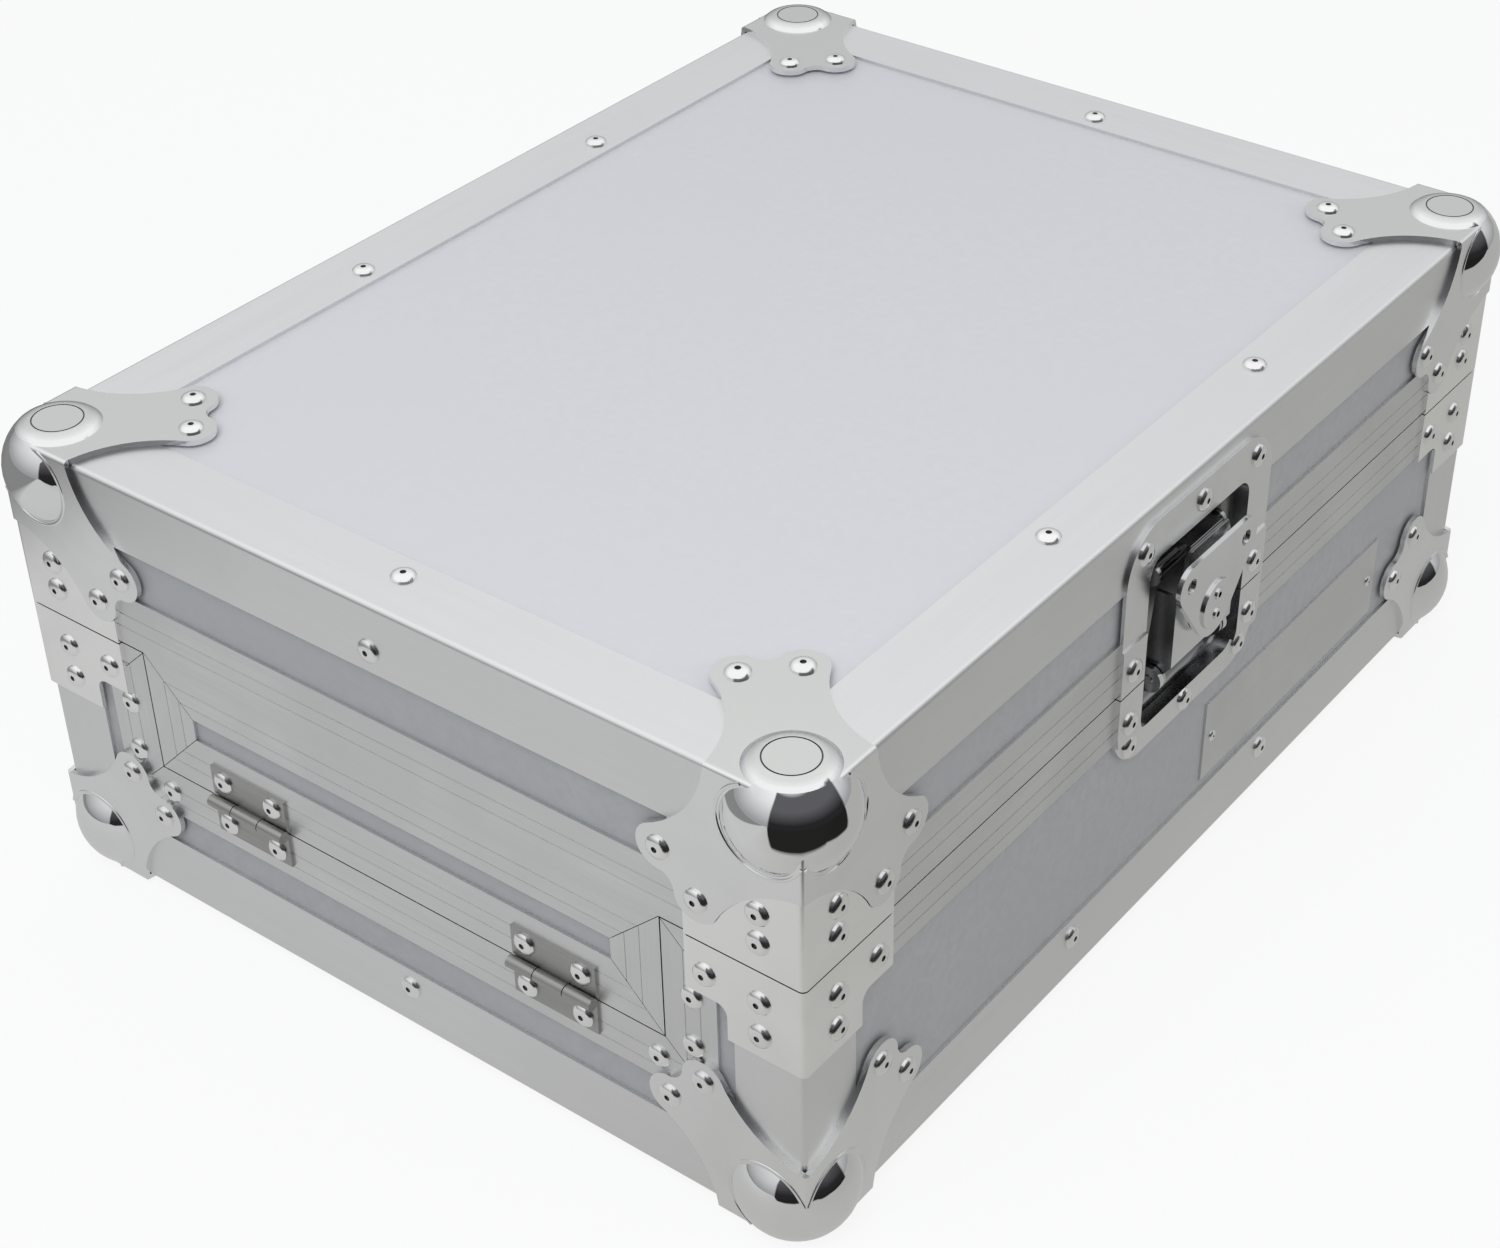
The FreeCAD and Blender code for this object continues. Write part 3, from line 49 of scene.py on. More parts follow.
# Photograph's camera: where it stood, how it was turned, its lens and the crop of its picture
camera_eye = Vector((-0.5859, 0.7721, 0.7492))
camera_azimuth = math.radians(217.11)
camera_elevation = math.radians(36.37)
camera_roll = math.radians(-0.565)
camera_lens = 65.19
camera_shift = (-0.0348, 0.0214)
camera_sensor = 36.0
camera_clip = 0.01

# Studio
floor_half = 6.0
floor_colour = (0.86, 0.87, 0.88, 1.0)
floor_glow_share = 0.86
white = (1.0, 1.0, 1.0, 1.0)
sky_fill = (0.94, 0.97, 1.0, 1.0)
sky_fill_strength = 0.55
floor_roughness = 0.9
case_middle = (0.0, 0.0, 0.1)
key_light_place = (-0.5, 1.5, 2.2)
key_light_size = 1.8
key_light_power = 30.5
key_light_tint = (1.0, 1.0, 1.0)
end_light_place = (-2.2, -0.6, 1.0)
end_light_size = 1.2
end_light_power = 5.0
end_light_tint = (1.0, 0.94, 0.82)

# What metal mirrors: a grey room with a white ceiling, a pale floor that ends, and a dark side
room_wall = (0.36, 0.37, 0.38, 1.0)
room_rise = (0.03, 0.72)
dark_side = (0.022, 0.020, 0.023, 1.0)
dark_side_upper = (0.12, 0.12, 0.13, 1.0)
dark_side_rise = (0.10, 0.45)
dark_side_span = (-0.03, 0.01)
dark_front_span = (-0.60, -0.55)
dark_top_span = (0.70, 0.78)
floor_mirror_level = 0.54
latch_floor_span = (-0.30, 0.0)
latch_floor_share = 0.84
far_floor_span = (0.37, 0.45)
far_floor_share = 0.42
rear_floor_span = (0.15, 0.40)
rear_floor_gain = 1.13
dark_corner_spans = ((-0.215, -0.195), (0.24, 0.26))
dark_corner_towards = Vector((-1.0, 1.0, 0.0))
dark_corner_reach = (0.69, 0.77)
dark_floor_span = (-0.53, -0.48)
dark_floor_towards = Vector((-0.695, 1.0, 0.0))
dark_floor_reach = (0.35, 0.39)
dark_floor_share = 0.035
latch_floor_tint = (1.0, 0.995, 0.955, 1.0)

# Ball corners: the ring round a ball's flat is told from the rest by its place
ball_middle = Vector((0.0, 0.0, 0.1058))
ball_offset = Vector((0.1748, 0.2348, 0.0858))
ball_polish_span = (0.0243, 0.0256)
ring_reach = 0.02235
ring_height = 0.1056
ring_dark = (0.10, 0.10, 0.11, 1.0)
# painted reflection: faces that look upwards are coloured darker, as if they mirrored a greyer ceiling
upward_dimming_span = (0.86, 0.97)
upward_reflection_tone = (0.70, 0.71, 0.70, 1.0)
collar_radius = 18.0 * MM
collar_half_width = 0.7 * MM
collar_height = 0.45 * MM
collar_seat = 0.1 * MM
foot_proud = 2.2 * MM
ball_inset = 15.2 * MM
collar_segments = 56
collar_bead_steps = 6

# Sharp edges of the turned and swept pieces
collar_sharp_angle = math.radians(60)
foam_sharp_angle = math.radians(40)
grip_sharp_angle = math.radians(50)
rivet_sharp_angle = math.radians(38)
weld_distance = 0.01 * MM

# Rivets, as shares of a head's radius
rivet_segments = 18
rivet_weld_share = 0.001
rivet_height_share = 0.417
rivet_rim_share = 0.15
rivet_hole_share = 0.25
rivet_hole_depth_share = 0.29
rivet_mandrel_drop_share = 0.10
rivet_dome_steps = 4
rivet_dome_spread = 1.5
rivet_dome_power = 5.0
mandrel_fit_share = 0.96
mandrel_nose_share = 0.55
mandrel_nose_height = 0.04

# Latch hub
hub_rivet_offset = 4.6 * MM
hub_rivet_height = 0.6 * MM
hub_rivet_hole = 1.3 * MM

# Foam lining
foam_round = 2.2 * MM
foam_round_steps = 3
foam_cell_size = 620.0
foam_cell_depths = (0.1, 0.75)
foam_mark_size = 9.0
foam_roughness = (0.86, 0.98)
foam_relief = 0.8
foam_relief_height = 0.4 * MM
# painted shade: the colour in the foam cells' hollows
foam_hollow_shade = (0.030, 0.030, 0.032, 1.0)
foam_wall = (0.095, 0.095, 0.102, 1.0)
foam_dust = (0.105, 0.105, 0.110, 1.0)

# Handle grip
grip_rib_count = 15
grip_rib_depth = 0.5 * MM
grip_end_round = 1.6 * MM
grip_segments = 40
grip_rib_steps = 8
grip_bore_gap = 1.6 * MM
grip_pebble_size = 900.0
grip_mark_size = 30.0
grip_roughness = (0.48, 0.66)
grip_relief = 0.3
grip_relief_height = 0.08 * MM
grip_black = (0.018, 0.018, 0.019, 1.0)
grip_bloom = (0.040, 0.040, 0.042, 1.0)

# Grain, wiped patches, scratches and cells
broad_line_share = 0.16
line_tone_span = (0.32, 0.68)
patch_span = (0.42, 0.70)
scratch_turns = (0.5, -0.9)
scratch_seeds = (1.7, 4.3)
scratch_stretch = (1.0, 14.0, 14.0)
scratch_half_width = 0.006
scratched_scale = 9.0
scratched_span = (0.55, 0.68)
cell_tone_share = 0.3
fleck_span = (0.35, 0.65)
fine_relief_height = 0.02 * MM
drawn_mark_size = 11.0
drawn_scratch_size = 22.0
drawn_scratch_gain = 0.10
plate_mark_size = 18.0
plate_scratch_size = 34.0
plate_scratch_gain = 0.12
plate_wave_size = 260.0
plate_relief = 0.05
ball_wave_size = 200.0
ball_patch_gain = 0.03
ball_scratch_gain = 0.10
laminate_mark_size = 6.0
laminate_scratch_size = 16.0
laminate_relief = 0.18
laminate_relief_height = 0.06 * MM


# Node helpers
def socket(group, name, way, kind, value=None):
    """Adds a named socket to a node group."""
    made = group.interface.new_socket(name=name, in_out=way, socket_type="NodeSocket" + kind)
    if value is not None:
        made.default_value = value
    return made


def wire(tree, source, out_name, target, in_name):
    """Links one node's output to another node's input."""
    tree.links.new(source.outputs[out_name], target.inputs[in_name])


def shader_node(tree, kind, label, **inputs):
    """A node with some of its inputs set."""
    made = tree.nodes.new("ShaderNode" + kind)
    made.label = label
    for name, value in inputs.items():
        made.inputs[name.replace("_", " ")].default_value = value
    return made


def maths(tree, operation, first, second, label):
    """A math node whose two values are numbers or (node, output) pairs."""
    made = tree.nodes.new("ShaderNodeMath")
    made.operation = operation
    made.label = label
    for index, value in enumerate((first, second)):
        if isinstance(value, tuple):
            tree.links.new(value[0].outputs[value[1]], made.inputs[index])
        else:
            made.inputs[index].default_value = value
    return made


def vector_maths(tree, operation, source, out_name, fixed=None):
    """A vector math node on one linked vector and, where it takes two, a fixed one."""
    made = tree.nodes.new("ShaderNodeVectorMath")
    made.operation = operation
    wire(tree, source, out_name, made, 0)
    if fixed is not None:
        made.inputs[1].default_value = fixed
    return made


def parts_of(tree, source, out_name):
    """A node that parts a vector into X, Y and Z."""
    made = tree.nodes.new("ShaderNodeSeparateXYZ")
    wire(tree, source, out_name, made, 0)
    return made


def shader_mix(tree, factor, first, second):
    """Mixes two shaders; all three are (node, output) pairs."""
    made = tree.nodes.new("ShaderNodeMixShader")
    for place, pair in enumerate((factor, first, second)):
        wire(tree, *pair, made, place)
    return made


def span(tree, source, out_name, low, high, new_low, new_high, label):
    """Maps a value from one span to another and holds it there."""
    made = tree.nodes.new("ShaderNodeMapRange")
    made.label = label
    made.clamp = True
    for name, value in (("From Min", low), ("From Max", high), ("To Min", new_low), ("To Max", new_high)):
        made.inputs[name].default_value = value
    wire(tree, source, out_name, made, "Value")
    return made


def colour_mix(tree, factor, first, second, label):
    """Mixes two colours, each a colour or a (node, output) pair, by a (node, output) factor."""
    made = tree.nodes.new("ShaderNodeMix")
    made.data_type = "RGBA"
    made.label = label
    tree.links.new(factor[0].outputs[factor[1]], made.inputs["Factor"])
    for name, value in (("A", first), ("B", second)):
        place = [item for item in made.inputs if item.name == name and item.type == "RGBA"][0]
        if isinstance(value[0], (int, float)):
            place.default_value = value
        else:
            tree.links.new(value[0].outputs[value[1]], place)
    return made


def colour_of(mixed):
    """The colour output of a mix node, as a pair for the helpers."""
    places = [index for index, item in enumerate(mixed.outputs) if item.type == "RGBA"]
    return (mixed, places[0])


def new_group(name):
    """An empty shader group with its two end nodes."""
    group = bpy.data.node_groups.new(name, "ShaderNodeTree")
    socket(group, "Vector", "INPUT", "Vector")
    return group, group.nodes.new("NodeGroupInput"), group.nodes.new("NodeGroupOutput")


# Shared effects
def drawn_grain_group():
    """Fine lines that an extrusion or a brush leaves along a piece."""
    group, entry, leave = new_group("drawn_grain")
    socket(group, "Fineness", "INPUT", "Float", 900.0)
    socket(group, "Run", "INPUT", "Vector", (1.0, 1.0, 1.0))
    socket(group, "Tone", "OUTPUT", "Float")
    socket(group, "Height", "OUTPUT", "Float")
    stretch = vector_maths(group, "MULTIPLY", entry, "Vector")
    wire(group, entry, "Run", stretch, 1)
    fine = shader_node(group, "TexNoise", "fine lines", Detail=3.0, Roughness=0.65)
    wire(group, stretch, "Vector", fine, "Vector")
    wire(group, entry, "Fineness", fine, "Scale")
    broad_scale = maths(group, "MULTIPLY", (entry, "Fineness"), broad_line_share, "broad lines")
    broad = shader_node(group, "TexNoise", "broad bands", Detail=2.0, Roughness=0.5)
    wire(group, stretch, "Vector", broad, "Vector")
    wire(group, broad_scale, 0, broad, "Scale")
    both = maths(group, "ADD", (fine, "Fac"), (broad, "Fac"), "both")
    half = maths(group, "MULTIPLY", (both, 0), 0.5, "mean")
    wire(group, half, 0, leave, "Tone")
    wire(group, fine, "Fac", leave, "Height")
    return group


def handling_marks_group():
    """Soft patches where hands and wiping leave a metal or laminate a little duller."""
    group, entry, leave = new_group("handling_marks")
    socket(group, "Size", "INPUT", "Float", 14.0)
    socket(group, "Mask", "OUTPUT", "Float")
    cloud = shader_node(group, "TexNoise", "wiped patches", Detail=5.0, Roughness=0.6, Distortion=0.6)
    wire(group, entry, "Vector", cloud, "Vector")
    wire(group, entry, "Size", cloud, "Scale")
    mask = span(group, cloud, "Fac", *patch_span, 0.0, 1.0, "patch mask")
    wire(group, mask, "Result", leave, "Mask")
    return group


def hair_scratches_group():
    """Sparse thin scratches in two directions."""
    group, entry, leave = new_group("hair_scratches")
    socket(group, "Size", "INPUT", "Float", 26.0)
    socket(group, "Mask", "OUTPUT", "Float")
    lines = []
    for turn, seed in zip(scratch_turns, scratch_seeds):
        place = shader_node(group, "Mapping", "scratch direction", Location=(seed, seed, seed),
                            Rotation=(turn, turn, turn), Scale=scratch_stretch)
        wire(group, entry, "Vector", place, "Vector")
        cells = shader_node(group, "TexNoise", "scratch lines", Detail=1.0)
        wire(group, place, "Vector", cells, "Vector")
        wire(group, entry, "Size", cells, "Scale")
        offset = maths(group, "SUBTRACT", (cells, "Fac"), 0.5, "from the middle")
        near = maths(group, "ABSOLUTE", (offset, 0), 0.0, "distance")
        lines.append(span(group, near, 0, 0.0, scratch_half_width, 1.0, 0.0, "thin line"))
    gate = shader_node(group, "TexNoise", "where scratched", Scale=scratched_scale, Detail=2.0)
    wire(group, entry, "Vector", gate, "Vector")
    some = span(group, gate, "Fac", *scratched_span, 0.0, 1.0, "sparse")
    both = maths(group, "MAXIMUM", (lines[0], "Result"), (lines[1], "Result"), "both ways")
    mask = maths(group, "MULTIPLY", (both, 0), (some, "Result"), "sparse lines")
    wire(group, mask, 0, leave, "Mask")
    return group


def pebble_group():
    """Small rounded cells, as in an embossed laminate or a foam."""
    group, entry, leave = new_group("pebble")
    socket(group, "Size", "INPUT", "Float", 700.0)
    socket(group, "Cell", "OUTPUT", "Float")
    socket(group, "Tone", "OUTPUT", "Float")
    cells = shader_node(group, "TexVoronoi", "cells")
    wire(group, entry, "Vector", cells, "Vector")
    wire(group, entry, "Size", cells, "Scale")
    tone = shader_node(group, "TexNoise", "cell tone", Detail=4.0, Roughness=0.6)
    broad_size = maths(group, "MULTIPLY", (entry, "Size"), cell_tone_share, "broader")
    wire(group, entry, "Vector", tone, "Vector")
    wire(group, broad_size, 0, tone, "Scale")
    wire(group, cells, "Distance", leave, "Cell")
    wire(group, tone, "Fac", leave, "Tone")
    return group


effects = {
    "drawn_grain": drawn_grain_group(),
    "handling_marks": handling_marks_group(),
    "hair_scratches": hair_scratches_group(),
    "pebble": pebble_group(),
}


# Materials
class Finish:
    """One material in the making: its tree, its shader and the coordinates that its patterns read."""

    def __init__(self, name):
        self.material = bpy.data.materials.new(name)
        self.material.use_nodes = True
        self.tree = self.material.node_tree
        self.shader = self.tree.nodes["Principled BSDF"]
        self.place = self.tree.nodes.new("ShaderNodeTexCoord")

    def effect(self, name, **values):
        """Places a shared effect on the piece's own coordinates."""
        made = self.tree.nodes.new("ShaderNodeGroup")
        made.node_tree = effects[name]
        made.label = name
        for key, value in values.items():
            made.inputs[key].default_value = value
        wire(self.tree, self.place, "Object", made, "Vector")
        return made

    def plain(self, **values):
        """Sets the shader's own values."""
        for key, value in values.items():
            self.shader.inputs[key.replace("_", " ")].default_value = value

    def bump(self, height, strength, distance):
        """Feeds the shader's normal from a (node, output) height."""
        made = shader_node(self.tree, "Bump", "relief", Strength=strength, Distance=distance)
        wire(self.tree, *height, made, "Height")
        wire(self.tree, made, "Normal", self.shader, "Normal")

    def reach_from(self, middle, offset):
        """Distance from the nearest of eight points about a middle, and the place folded onto one of them."""
        from_middle = vector_maths(self.tree, "SUBTRACT", self.place, "Object", middle)
        folded = vector_maths(self.tree, "ABSOLUTE", from_middle, "Vector")
        reach = vector_maths(self.tree, "DISTANCE", folded, "Vector", offset)
        return reach, folded

    def waves(self, size):
        """Faint waves in a plated face."""
        made = self.effect("pebble", Size=size)
        self.bump((made, "Tone"), plate_relief, fine_relief_height)

    def plate(self, tones, roughness):
        """A mirror-like metal with wiped patches and hair scratches. Returns its colour node."""
        self.plain(Metallic=1.0)
        marks = self.effect("handling_marks", Size=plate_mark_size)
        scratches = self.effect("hair_scratches", Size=plate_scratch_size)
        patchy = span(self.tree, marks, "Mask", 0.0, 1.0, *roughness, "patchy polish")
        worn = maths(self.tree, "MULTIPLY", (scratches, "Mask"), plate_scratch_gain, "scratch polish")
        total = maths(self.tree, "ADD", (patchy, "Result"), (worn, 0), "polish")
        self.roughness((total, 0))
        return colour_mix(self.tree, (marks, "Mask"), tones[0], tones[1], "wiped plate")

    def colour(self, pair):
        """Feeds the shader's colour."""
        wire(self.tree, *pair, self.shader, "Base Color")

    def roughness(self, pair):
        """Feeds the shader's roughness."""
        wire(self.tree, *pair, self.shader, "Roughness")


def drawn_metal(name, tones, roughness, run, fineness, relief):
    """A bare metal with lines along one direction, wiped patches and a few scratches."""
    finish = Finish(name)
    finish.plain(Metallic=1.0)
    grain = finish.effect("drawn_grain", Fineness=fineness, Run=run)
    marks = finish.effect("handling_marks", Size=drawn_mark_size)
    scratches = finish.effect("hair_scratches", Size=drawn_scratch_size)
    tree = finish.tree
    tone = span(tree, grain, "Tone", *line_tone_span, 0.0, 1.0, "line tone")
    lined = colour_mix(tree, (tone, "Result"), tones[0], tones[1], "lined metal")
    wiped = colour_mix(tree, (marks, "Mask"), colour_of(lined), tones[2], "wiped metal")
    finish.colour(colour_of(wiped))
    low, high = roughness
    patchy = span(tree, marks, "Mask", 0.0, 1.0, low, high, "patchy polish")
    lines = maths(tree, "MULTIPLY", (grain, "Tone"), high - low, "line polish")
    worn = maths(tree, "MULTIPLY", (scratches, "Mask"), drawn_scratch_gain, "scratch polish")
    total = maths(tree, "ADD", (patchy, "Result"), (lines, 0), "polish")
    total = maths(tree, "ADD", (total, 0), (worn, 0), "polish with scratches")
    finish.roughness((total, 0))
    height = maths(tree, "SUBTRACT", (grain, "Height"), (scratches, "Mask"), "lines less scratches")
    finish.bump((height, 0), relief, fine_relief_height)
    return finish.material


def plated_metal(name, tones, roughness):
    """A plated metal: nearly mirror-like, with faint waves, wiped patches and hair scratches."""
    finish = Finish(name)
    finish.colour(colour_of(finish.plate(tones, roughness)))
    finish.waves(plate_wave_size)
    return finish.material


def corner_chrome():
    """A mirror on the balls and a softer polish on their feet."""
    finish = Finish("corner_chrome")
    finish.plain(Metallic=1.0)
    marks = finish.effect("handling_marks", Size=plate_mark_size)
    scratches = finish.effect("hair_scratches", Size=plate_scratch_size)
    tree = finish.tree
    reach, folded = finish.reach_from(ball_middle, ball_offset)
    split = parts_of(tree, folded, "Vector")
    near = maths(tree, "LESS_THAN", (reach, "Value"), ring_reach, "on the flat")
    sunk = maths(tree, "LESS_THAN", (split, "Z"), ring_height, "below the flat")
    ring = maths(tree, "MULTIPLY", (near, 0), (sunk, 0), "ring round the flat")
    wiped = colour_mix(tree, (marks, "Mask"), chrome_tones[0], chrome_tones[1], "wiped plate")
    # painted dimmer reflection: upward faces are coloured darker, as if they mirrored a greyer ceiling
    facing = parts_of(tree, finish.place, "Normal")
    upper = span(tree, facing, "Z", *upward_dimming_span, 0.0, 1.0, "upper faces")
    upward_dimmed = colour_mix(tree, (upper, "Result"), colour_of(wiped), upward_reflection_tone, "painted dimmer reflection on top")
    # the ring round each flat is coloured darker
    ringed = colour_mix(tree, (ring, 0), colour_of(upward_dimmed), ring_dark, "darker ring")
    finish.colour(colour_of(ringed))
    polish = span(tree, reach, "Value", *ball_polish_span, ball_roughness, foot_roughness, "polish")
    patchy = maths(tree, "MULTIPLY", (marks, "Mask"), ball_patch_gain, "patchy polish")
    worn = maths(tree, "MULTIPLY", (scratches, "Mask"), ball_scratch_gain, "scratch polish")
    total = maths(tree, "ADD", (polish, "Result"), (patchy, 0), "polish with patches")
    total = maths(tree, "ADD", (total, 0), (worn, 0), "polish with scratches")
    finish.roughness((total, 0))
    finish.waves(ball_wave_size)
    return finish.material


def recessed_plate(name, tones, roughness, axis, deep, face, recess_shade_share):
    """A plated metal with painted shade: its colour gets darker from its outer face to the bottom of a
    recess.
    """
    finish = Finish(name)
    tree = finish.tree
    wiped = finish.plate(tones, roughness)
    split = parts_of(tree, finish.place, "Object")
    outness = maths(tree, "ABSOLUTE", (split, axis), 0.0, "distance out")
    light = span(tree, outness, 0, deep, face, 0.0, 1.0, "out of the recess")
    # painted shade: the recess floor takes a dimmed copy of the plate's colour, for the light that does not
    # reach it
    recess_shade_colour = [value * recess_shade_share for value in tones[0][:3]] + [1.0]
    shaded = colour_mix(tree, (light, "Result"), recess_shade_colour, colour_of(wiped), "dimmer when deep")
    finish.colour(colour_of(shaded))
    finish.waves(plate_wave_size)
    return finish.material


def hub_finish():
    """A plated hub with painted shade: a dark disc at each of its two rivets stands for the shade in their
    open ends.
    """
    finish = Finish("hub_plate")
    tree = finish.tree
    wiped = finish.plate(latch_tones, latch_roughness)
    low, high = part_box("left_latch_hub")
    middle = Vector((0.0, 0.0, (low.z + high.z) / 2))
    face = max(abs(low.x), abs(high.x)) - hub_rivet_height
    reach = finish.reach_from(middle, Vector((face, 0.0, hub_rivet_offset)))[0]
    # painted shade: the rivets' open ends are coloured dark in the plate's own colour
    hole = maths(tree, "LESS_THAN", (reach, "Value"), hub_rivet_hole, "rivet hole")
    hub_hole_shaded = colour_mix(tree, (hole, 0), colour_of(wiped), mandrel_shade_tones[0], "dark hole")
    finish.colour(colour_of(hub_hole_shaded))
    return finish.material


def laminate(name, tones, roughness, size):
    """A coated panel with a fine pebble, a soft sheen and a little colour drift."""
    finish = Finish(name)
    finish.plain(IOR=1.5)
    pebble = finish.effect("pebble", Size=size)
    marks = finish.effect("handling_marks", Size=laminate_mark_size)
    scratches = finish.effect("hair_scratches", Size=laminate_scratch_size)
    tree = finish.tree
    fleck = span(tree, pebble, "Tone", *fleck_span, 0.0, 1.0, "fleck")
    flecked = colour_mix(tree, (fleck, "Result"), tones[0], tones[1], "flecked laminate")
    drift = colour_mix(tree, (marks, "Mask"), colour_of(flecked), tones[2], "colour drift")
    scuffed = colour_mix(tree, (scratches, "Mask"), colour_of(drift), tones[1], "scuffs")
    finish.colour(colour_of(scuffed))
    polish = span(tree, marks, "Mask", 0.0, 1.0, roughness[0], roughness[1], "sheen")
    finish.roughness((polish, "Result"))
    finish.bump((pebble, "Cell"), laminate_relief, laminate_relief_height)
    return finish.material


def foam_finish():
    """Dark open-cell foam."""
    finish = Finish("dark_foam")
    cells = finish.effect("pebble", Size=foam_cell_size)
    marks = finish.effect("handling_marks", Size=foam_mark_size)
    tree = finish.tree
    # painted shade: each cell is coloured darker in its hollow than on its walls
    depth = span(tree, cells, "Cell", *foam_cell_depths, 0.0, 1.0, "cell depth")
    open_cells = colour_mix(tree, (depth, "Result"), foam_hollow_shade, foam_wall, "open cells")
    dusty = colour_mix(tree, (marks, "Mask"), colour_of(open_cells), foam_dust, "dusty foam")
    finish.colour(colour_of(dusty))
    rough = span(tree, cells, "Tone", 0.0, 1.0, *foam_roughness, "dull")
    finish.roughness((rough, "Result"))
    finish.bump((cells, "Cell"), foam_relief, foam_relief_height)
    return finish.material


def rubber_finish():
    """Black grip rubber with a faint bloom."""
    finish = Finish("grip_rubber_black")
    pebble = finish.effect("pebble", Size=grip_pebble_size)
    marks = finish.effect("handling_marks", Size=grip_mark_size)
    tree = finish.tree
    bloom = colour_mix(tree, (marks, "Mask"), grip_black, grip_bloom, "bloom")
    finish.colour(colour_of(bloom))
    rough = span(tree, marks, "Mask", 0.0, 1.0, *grip_roughness, "worn rubber")
    finish.roughness((rough, "Result"))
    finish.bump((pebble, "Cell"), grip_relief, grip_relief_height)
    return finish.material


along = {
    "x": (0.03, 1.0, 1.0),
    "y": (1.0, 0.03, 1.0),
    "z": (1.0, 1.0, 0.03),
}
angle_tones = ((0.80, 0.805, 0.81, 1.0), (0.84, 0.845, 0.85, 1.0), (0.82, 0.825, 0.83, 1.0))
profile_tones = ((0.72, 0.725, 0.73, 1.0), (0.81, 0.815, 0.82, 1.0), (0.75, 0.755, 0.76, 1.0))
nickel_tones = ((0.96, 0.96, 0.955, 1.0), (0.92, 0.92, 0.915, 1.0))
chrome_tones = ((0.87, 0.875, 0.88, 1.0), (0.83, 0.835, 0.84, 1.0))
latch_tones = ((0.82, 0.825, 0.835, 1.0), (0.76, 0.765, 0.775, 1.0))
hinge_tones = ((0.34, 0.34, 0.33, 1.0), (0.50, 0.50, 0.49, 1.0), (0.42, 0.42, 0.41, 1.0))
rivet_tones = ((0.93, 0.93, 0.93, 1.0), (0.88, 0.88, 0.88, 1.0))
# painted shade: the mandrel ends are real, but their near-black colour stands for the shade down in the rivet
# holes; the hub's painted rivet holes use it too
mandrel_shade_tones = ((0.05, 0.05, 0.052, 1.0), (0.12, 0.12, 0.122, 1.0))
label_tones = ((0.72, 0.725, 0.73, 1.0), (0.78, 0.785, 0.79, 1.0), (0.75, 0.755, 0.76, 1.0))
# painted light: the top's laminate has the walls' hue at about twice their tone, for the light that falls on
# the top
lit_top_tones = ((0.70, 0.705, 0.735, 1.0), (0.72, 0.725, 0.76, 1.0), (0.71, 0.715, 0.745, 1.0))
wall_tones = ((0.345, 0.352, 0.365, 1.0), (0.385, 0.392, 0.405, 1.0), (0.365, 0.372, 0.385, 1.0))
keeper_tones = ((0.52, 0.52, 0.53, 1.0), (0.45, 0.45, 0.46, 1.0))
ball_roughness = 0.03
foot_roughness = 0.17
latch_roughness = (0.10, 0.18)
laminate_cell_size = 800.0

angles = {way: drawn_metal("angle_aluminium_" + way, angle_tones, roughness=(0.30, 0.36), run=run,
                           fineness=1100.0, relief=0.12)
          for way, run in along.items()}
profiles = {way: drawn_metal("profile_aluminium_" + way, profile_tones, roughness=(0.30, 0.40), run=run,
                             fineness=800.0, relief=0.30)
            for way, run in along.items()}
ball_chrome = corner_chrome()
brace_nickel = plated_metal("brace_nickel", nickel_tones, roughness=(0.18, 0.25))
latch_plate = plated_metal("latch_plate", latch_tones, roughness=latch_roughness)
# The dish, arm and handle plates carry painted shade in their recesses.
dish_plate = recessed_plate("dish_plate", latch_tones, roughness=(0.20, 0.28), axis="X", deep=0.1835,
                            face=0.1893, recess_shade_share=0.34)
arm_plate = recessed_plate("arm_plate", latch_tones, roughness=(0.18, 0.26), axis="X", deep=0.1880,
                           face=0.1965, recess_shade_share=0.34)
hub_plate = hub_finish()
keeper_plate = plated_metal("keeper_plate", keeper_tones, roughness=(0.12, 0.20))
handle_plate = recessed_plate("handle_plate", latch_tones, roughness=(0.12, 0.20), axis="Y", deep=0.2430,
                              face=0.2493, recess_shade_share=0.45)
rivet_bright = plated_metal("rivet_bright", rivet_tones, roughness=(0.16, 0.22))
# painted shade: the near-black mandrel colour stands for the shade in the rivet holes
mandrel_shaded = plated_metal("mandrel_shaded", mandrel_shade_tones, roughness=(0.40, 0.55))
hinge_zinc = drawn_metal("hinge_zinc", hinge_tones, roughness=(0.28, 0.40), run=along["x"], fineness=900.0,
                         relief=0.3)
label_satin = drawn_metal("label_satin", label_tones, roughness=(0.34, 0.46), run=along["y"], fineness=1300.0,
                          relief=0.2)
# painted light on the lid's top: a lighter copy of the wall laminate
lit_top_laminate = laminate("lit_top_laminate", lit_top_tones, roughness=(0.36, 0.44), size=laminate_cell_size)
wall_laminate = laminate("wall_laminate", wall_tones, roughness=(0.38, 0.46), size=laminate_cell_size)
foam_dark = foam_finish()
rubber_black = rubber_finish()

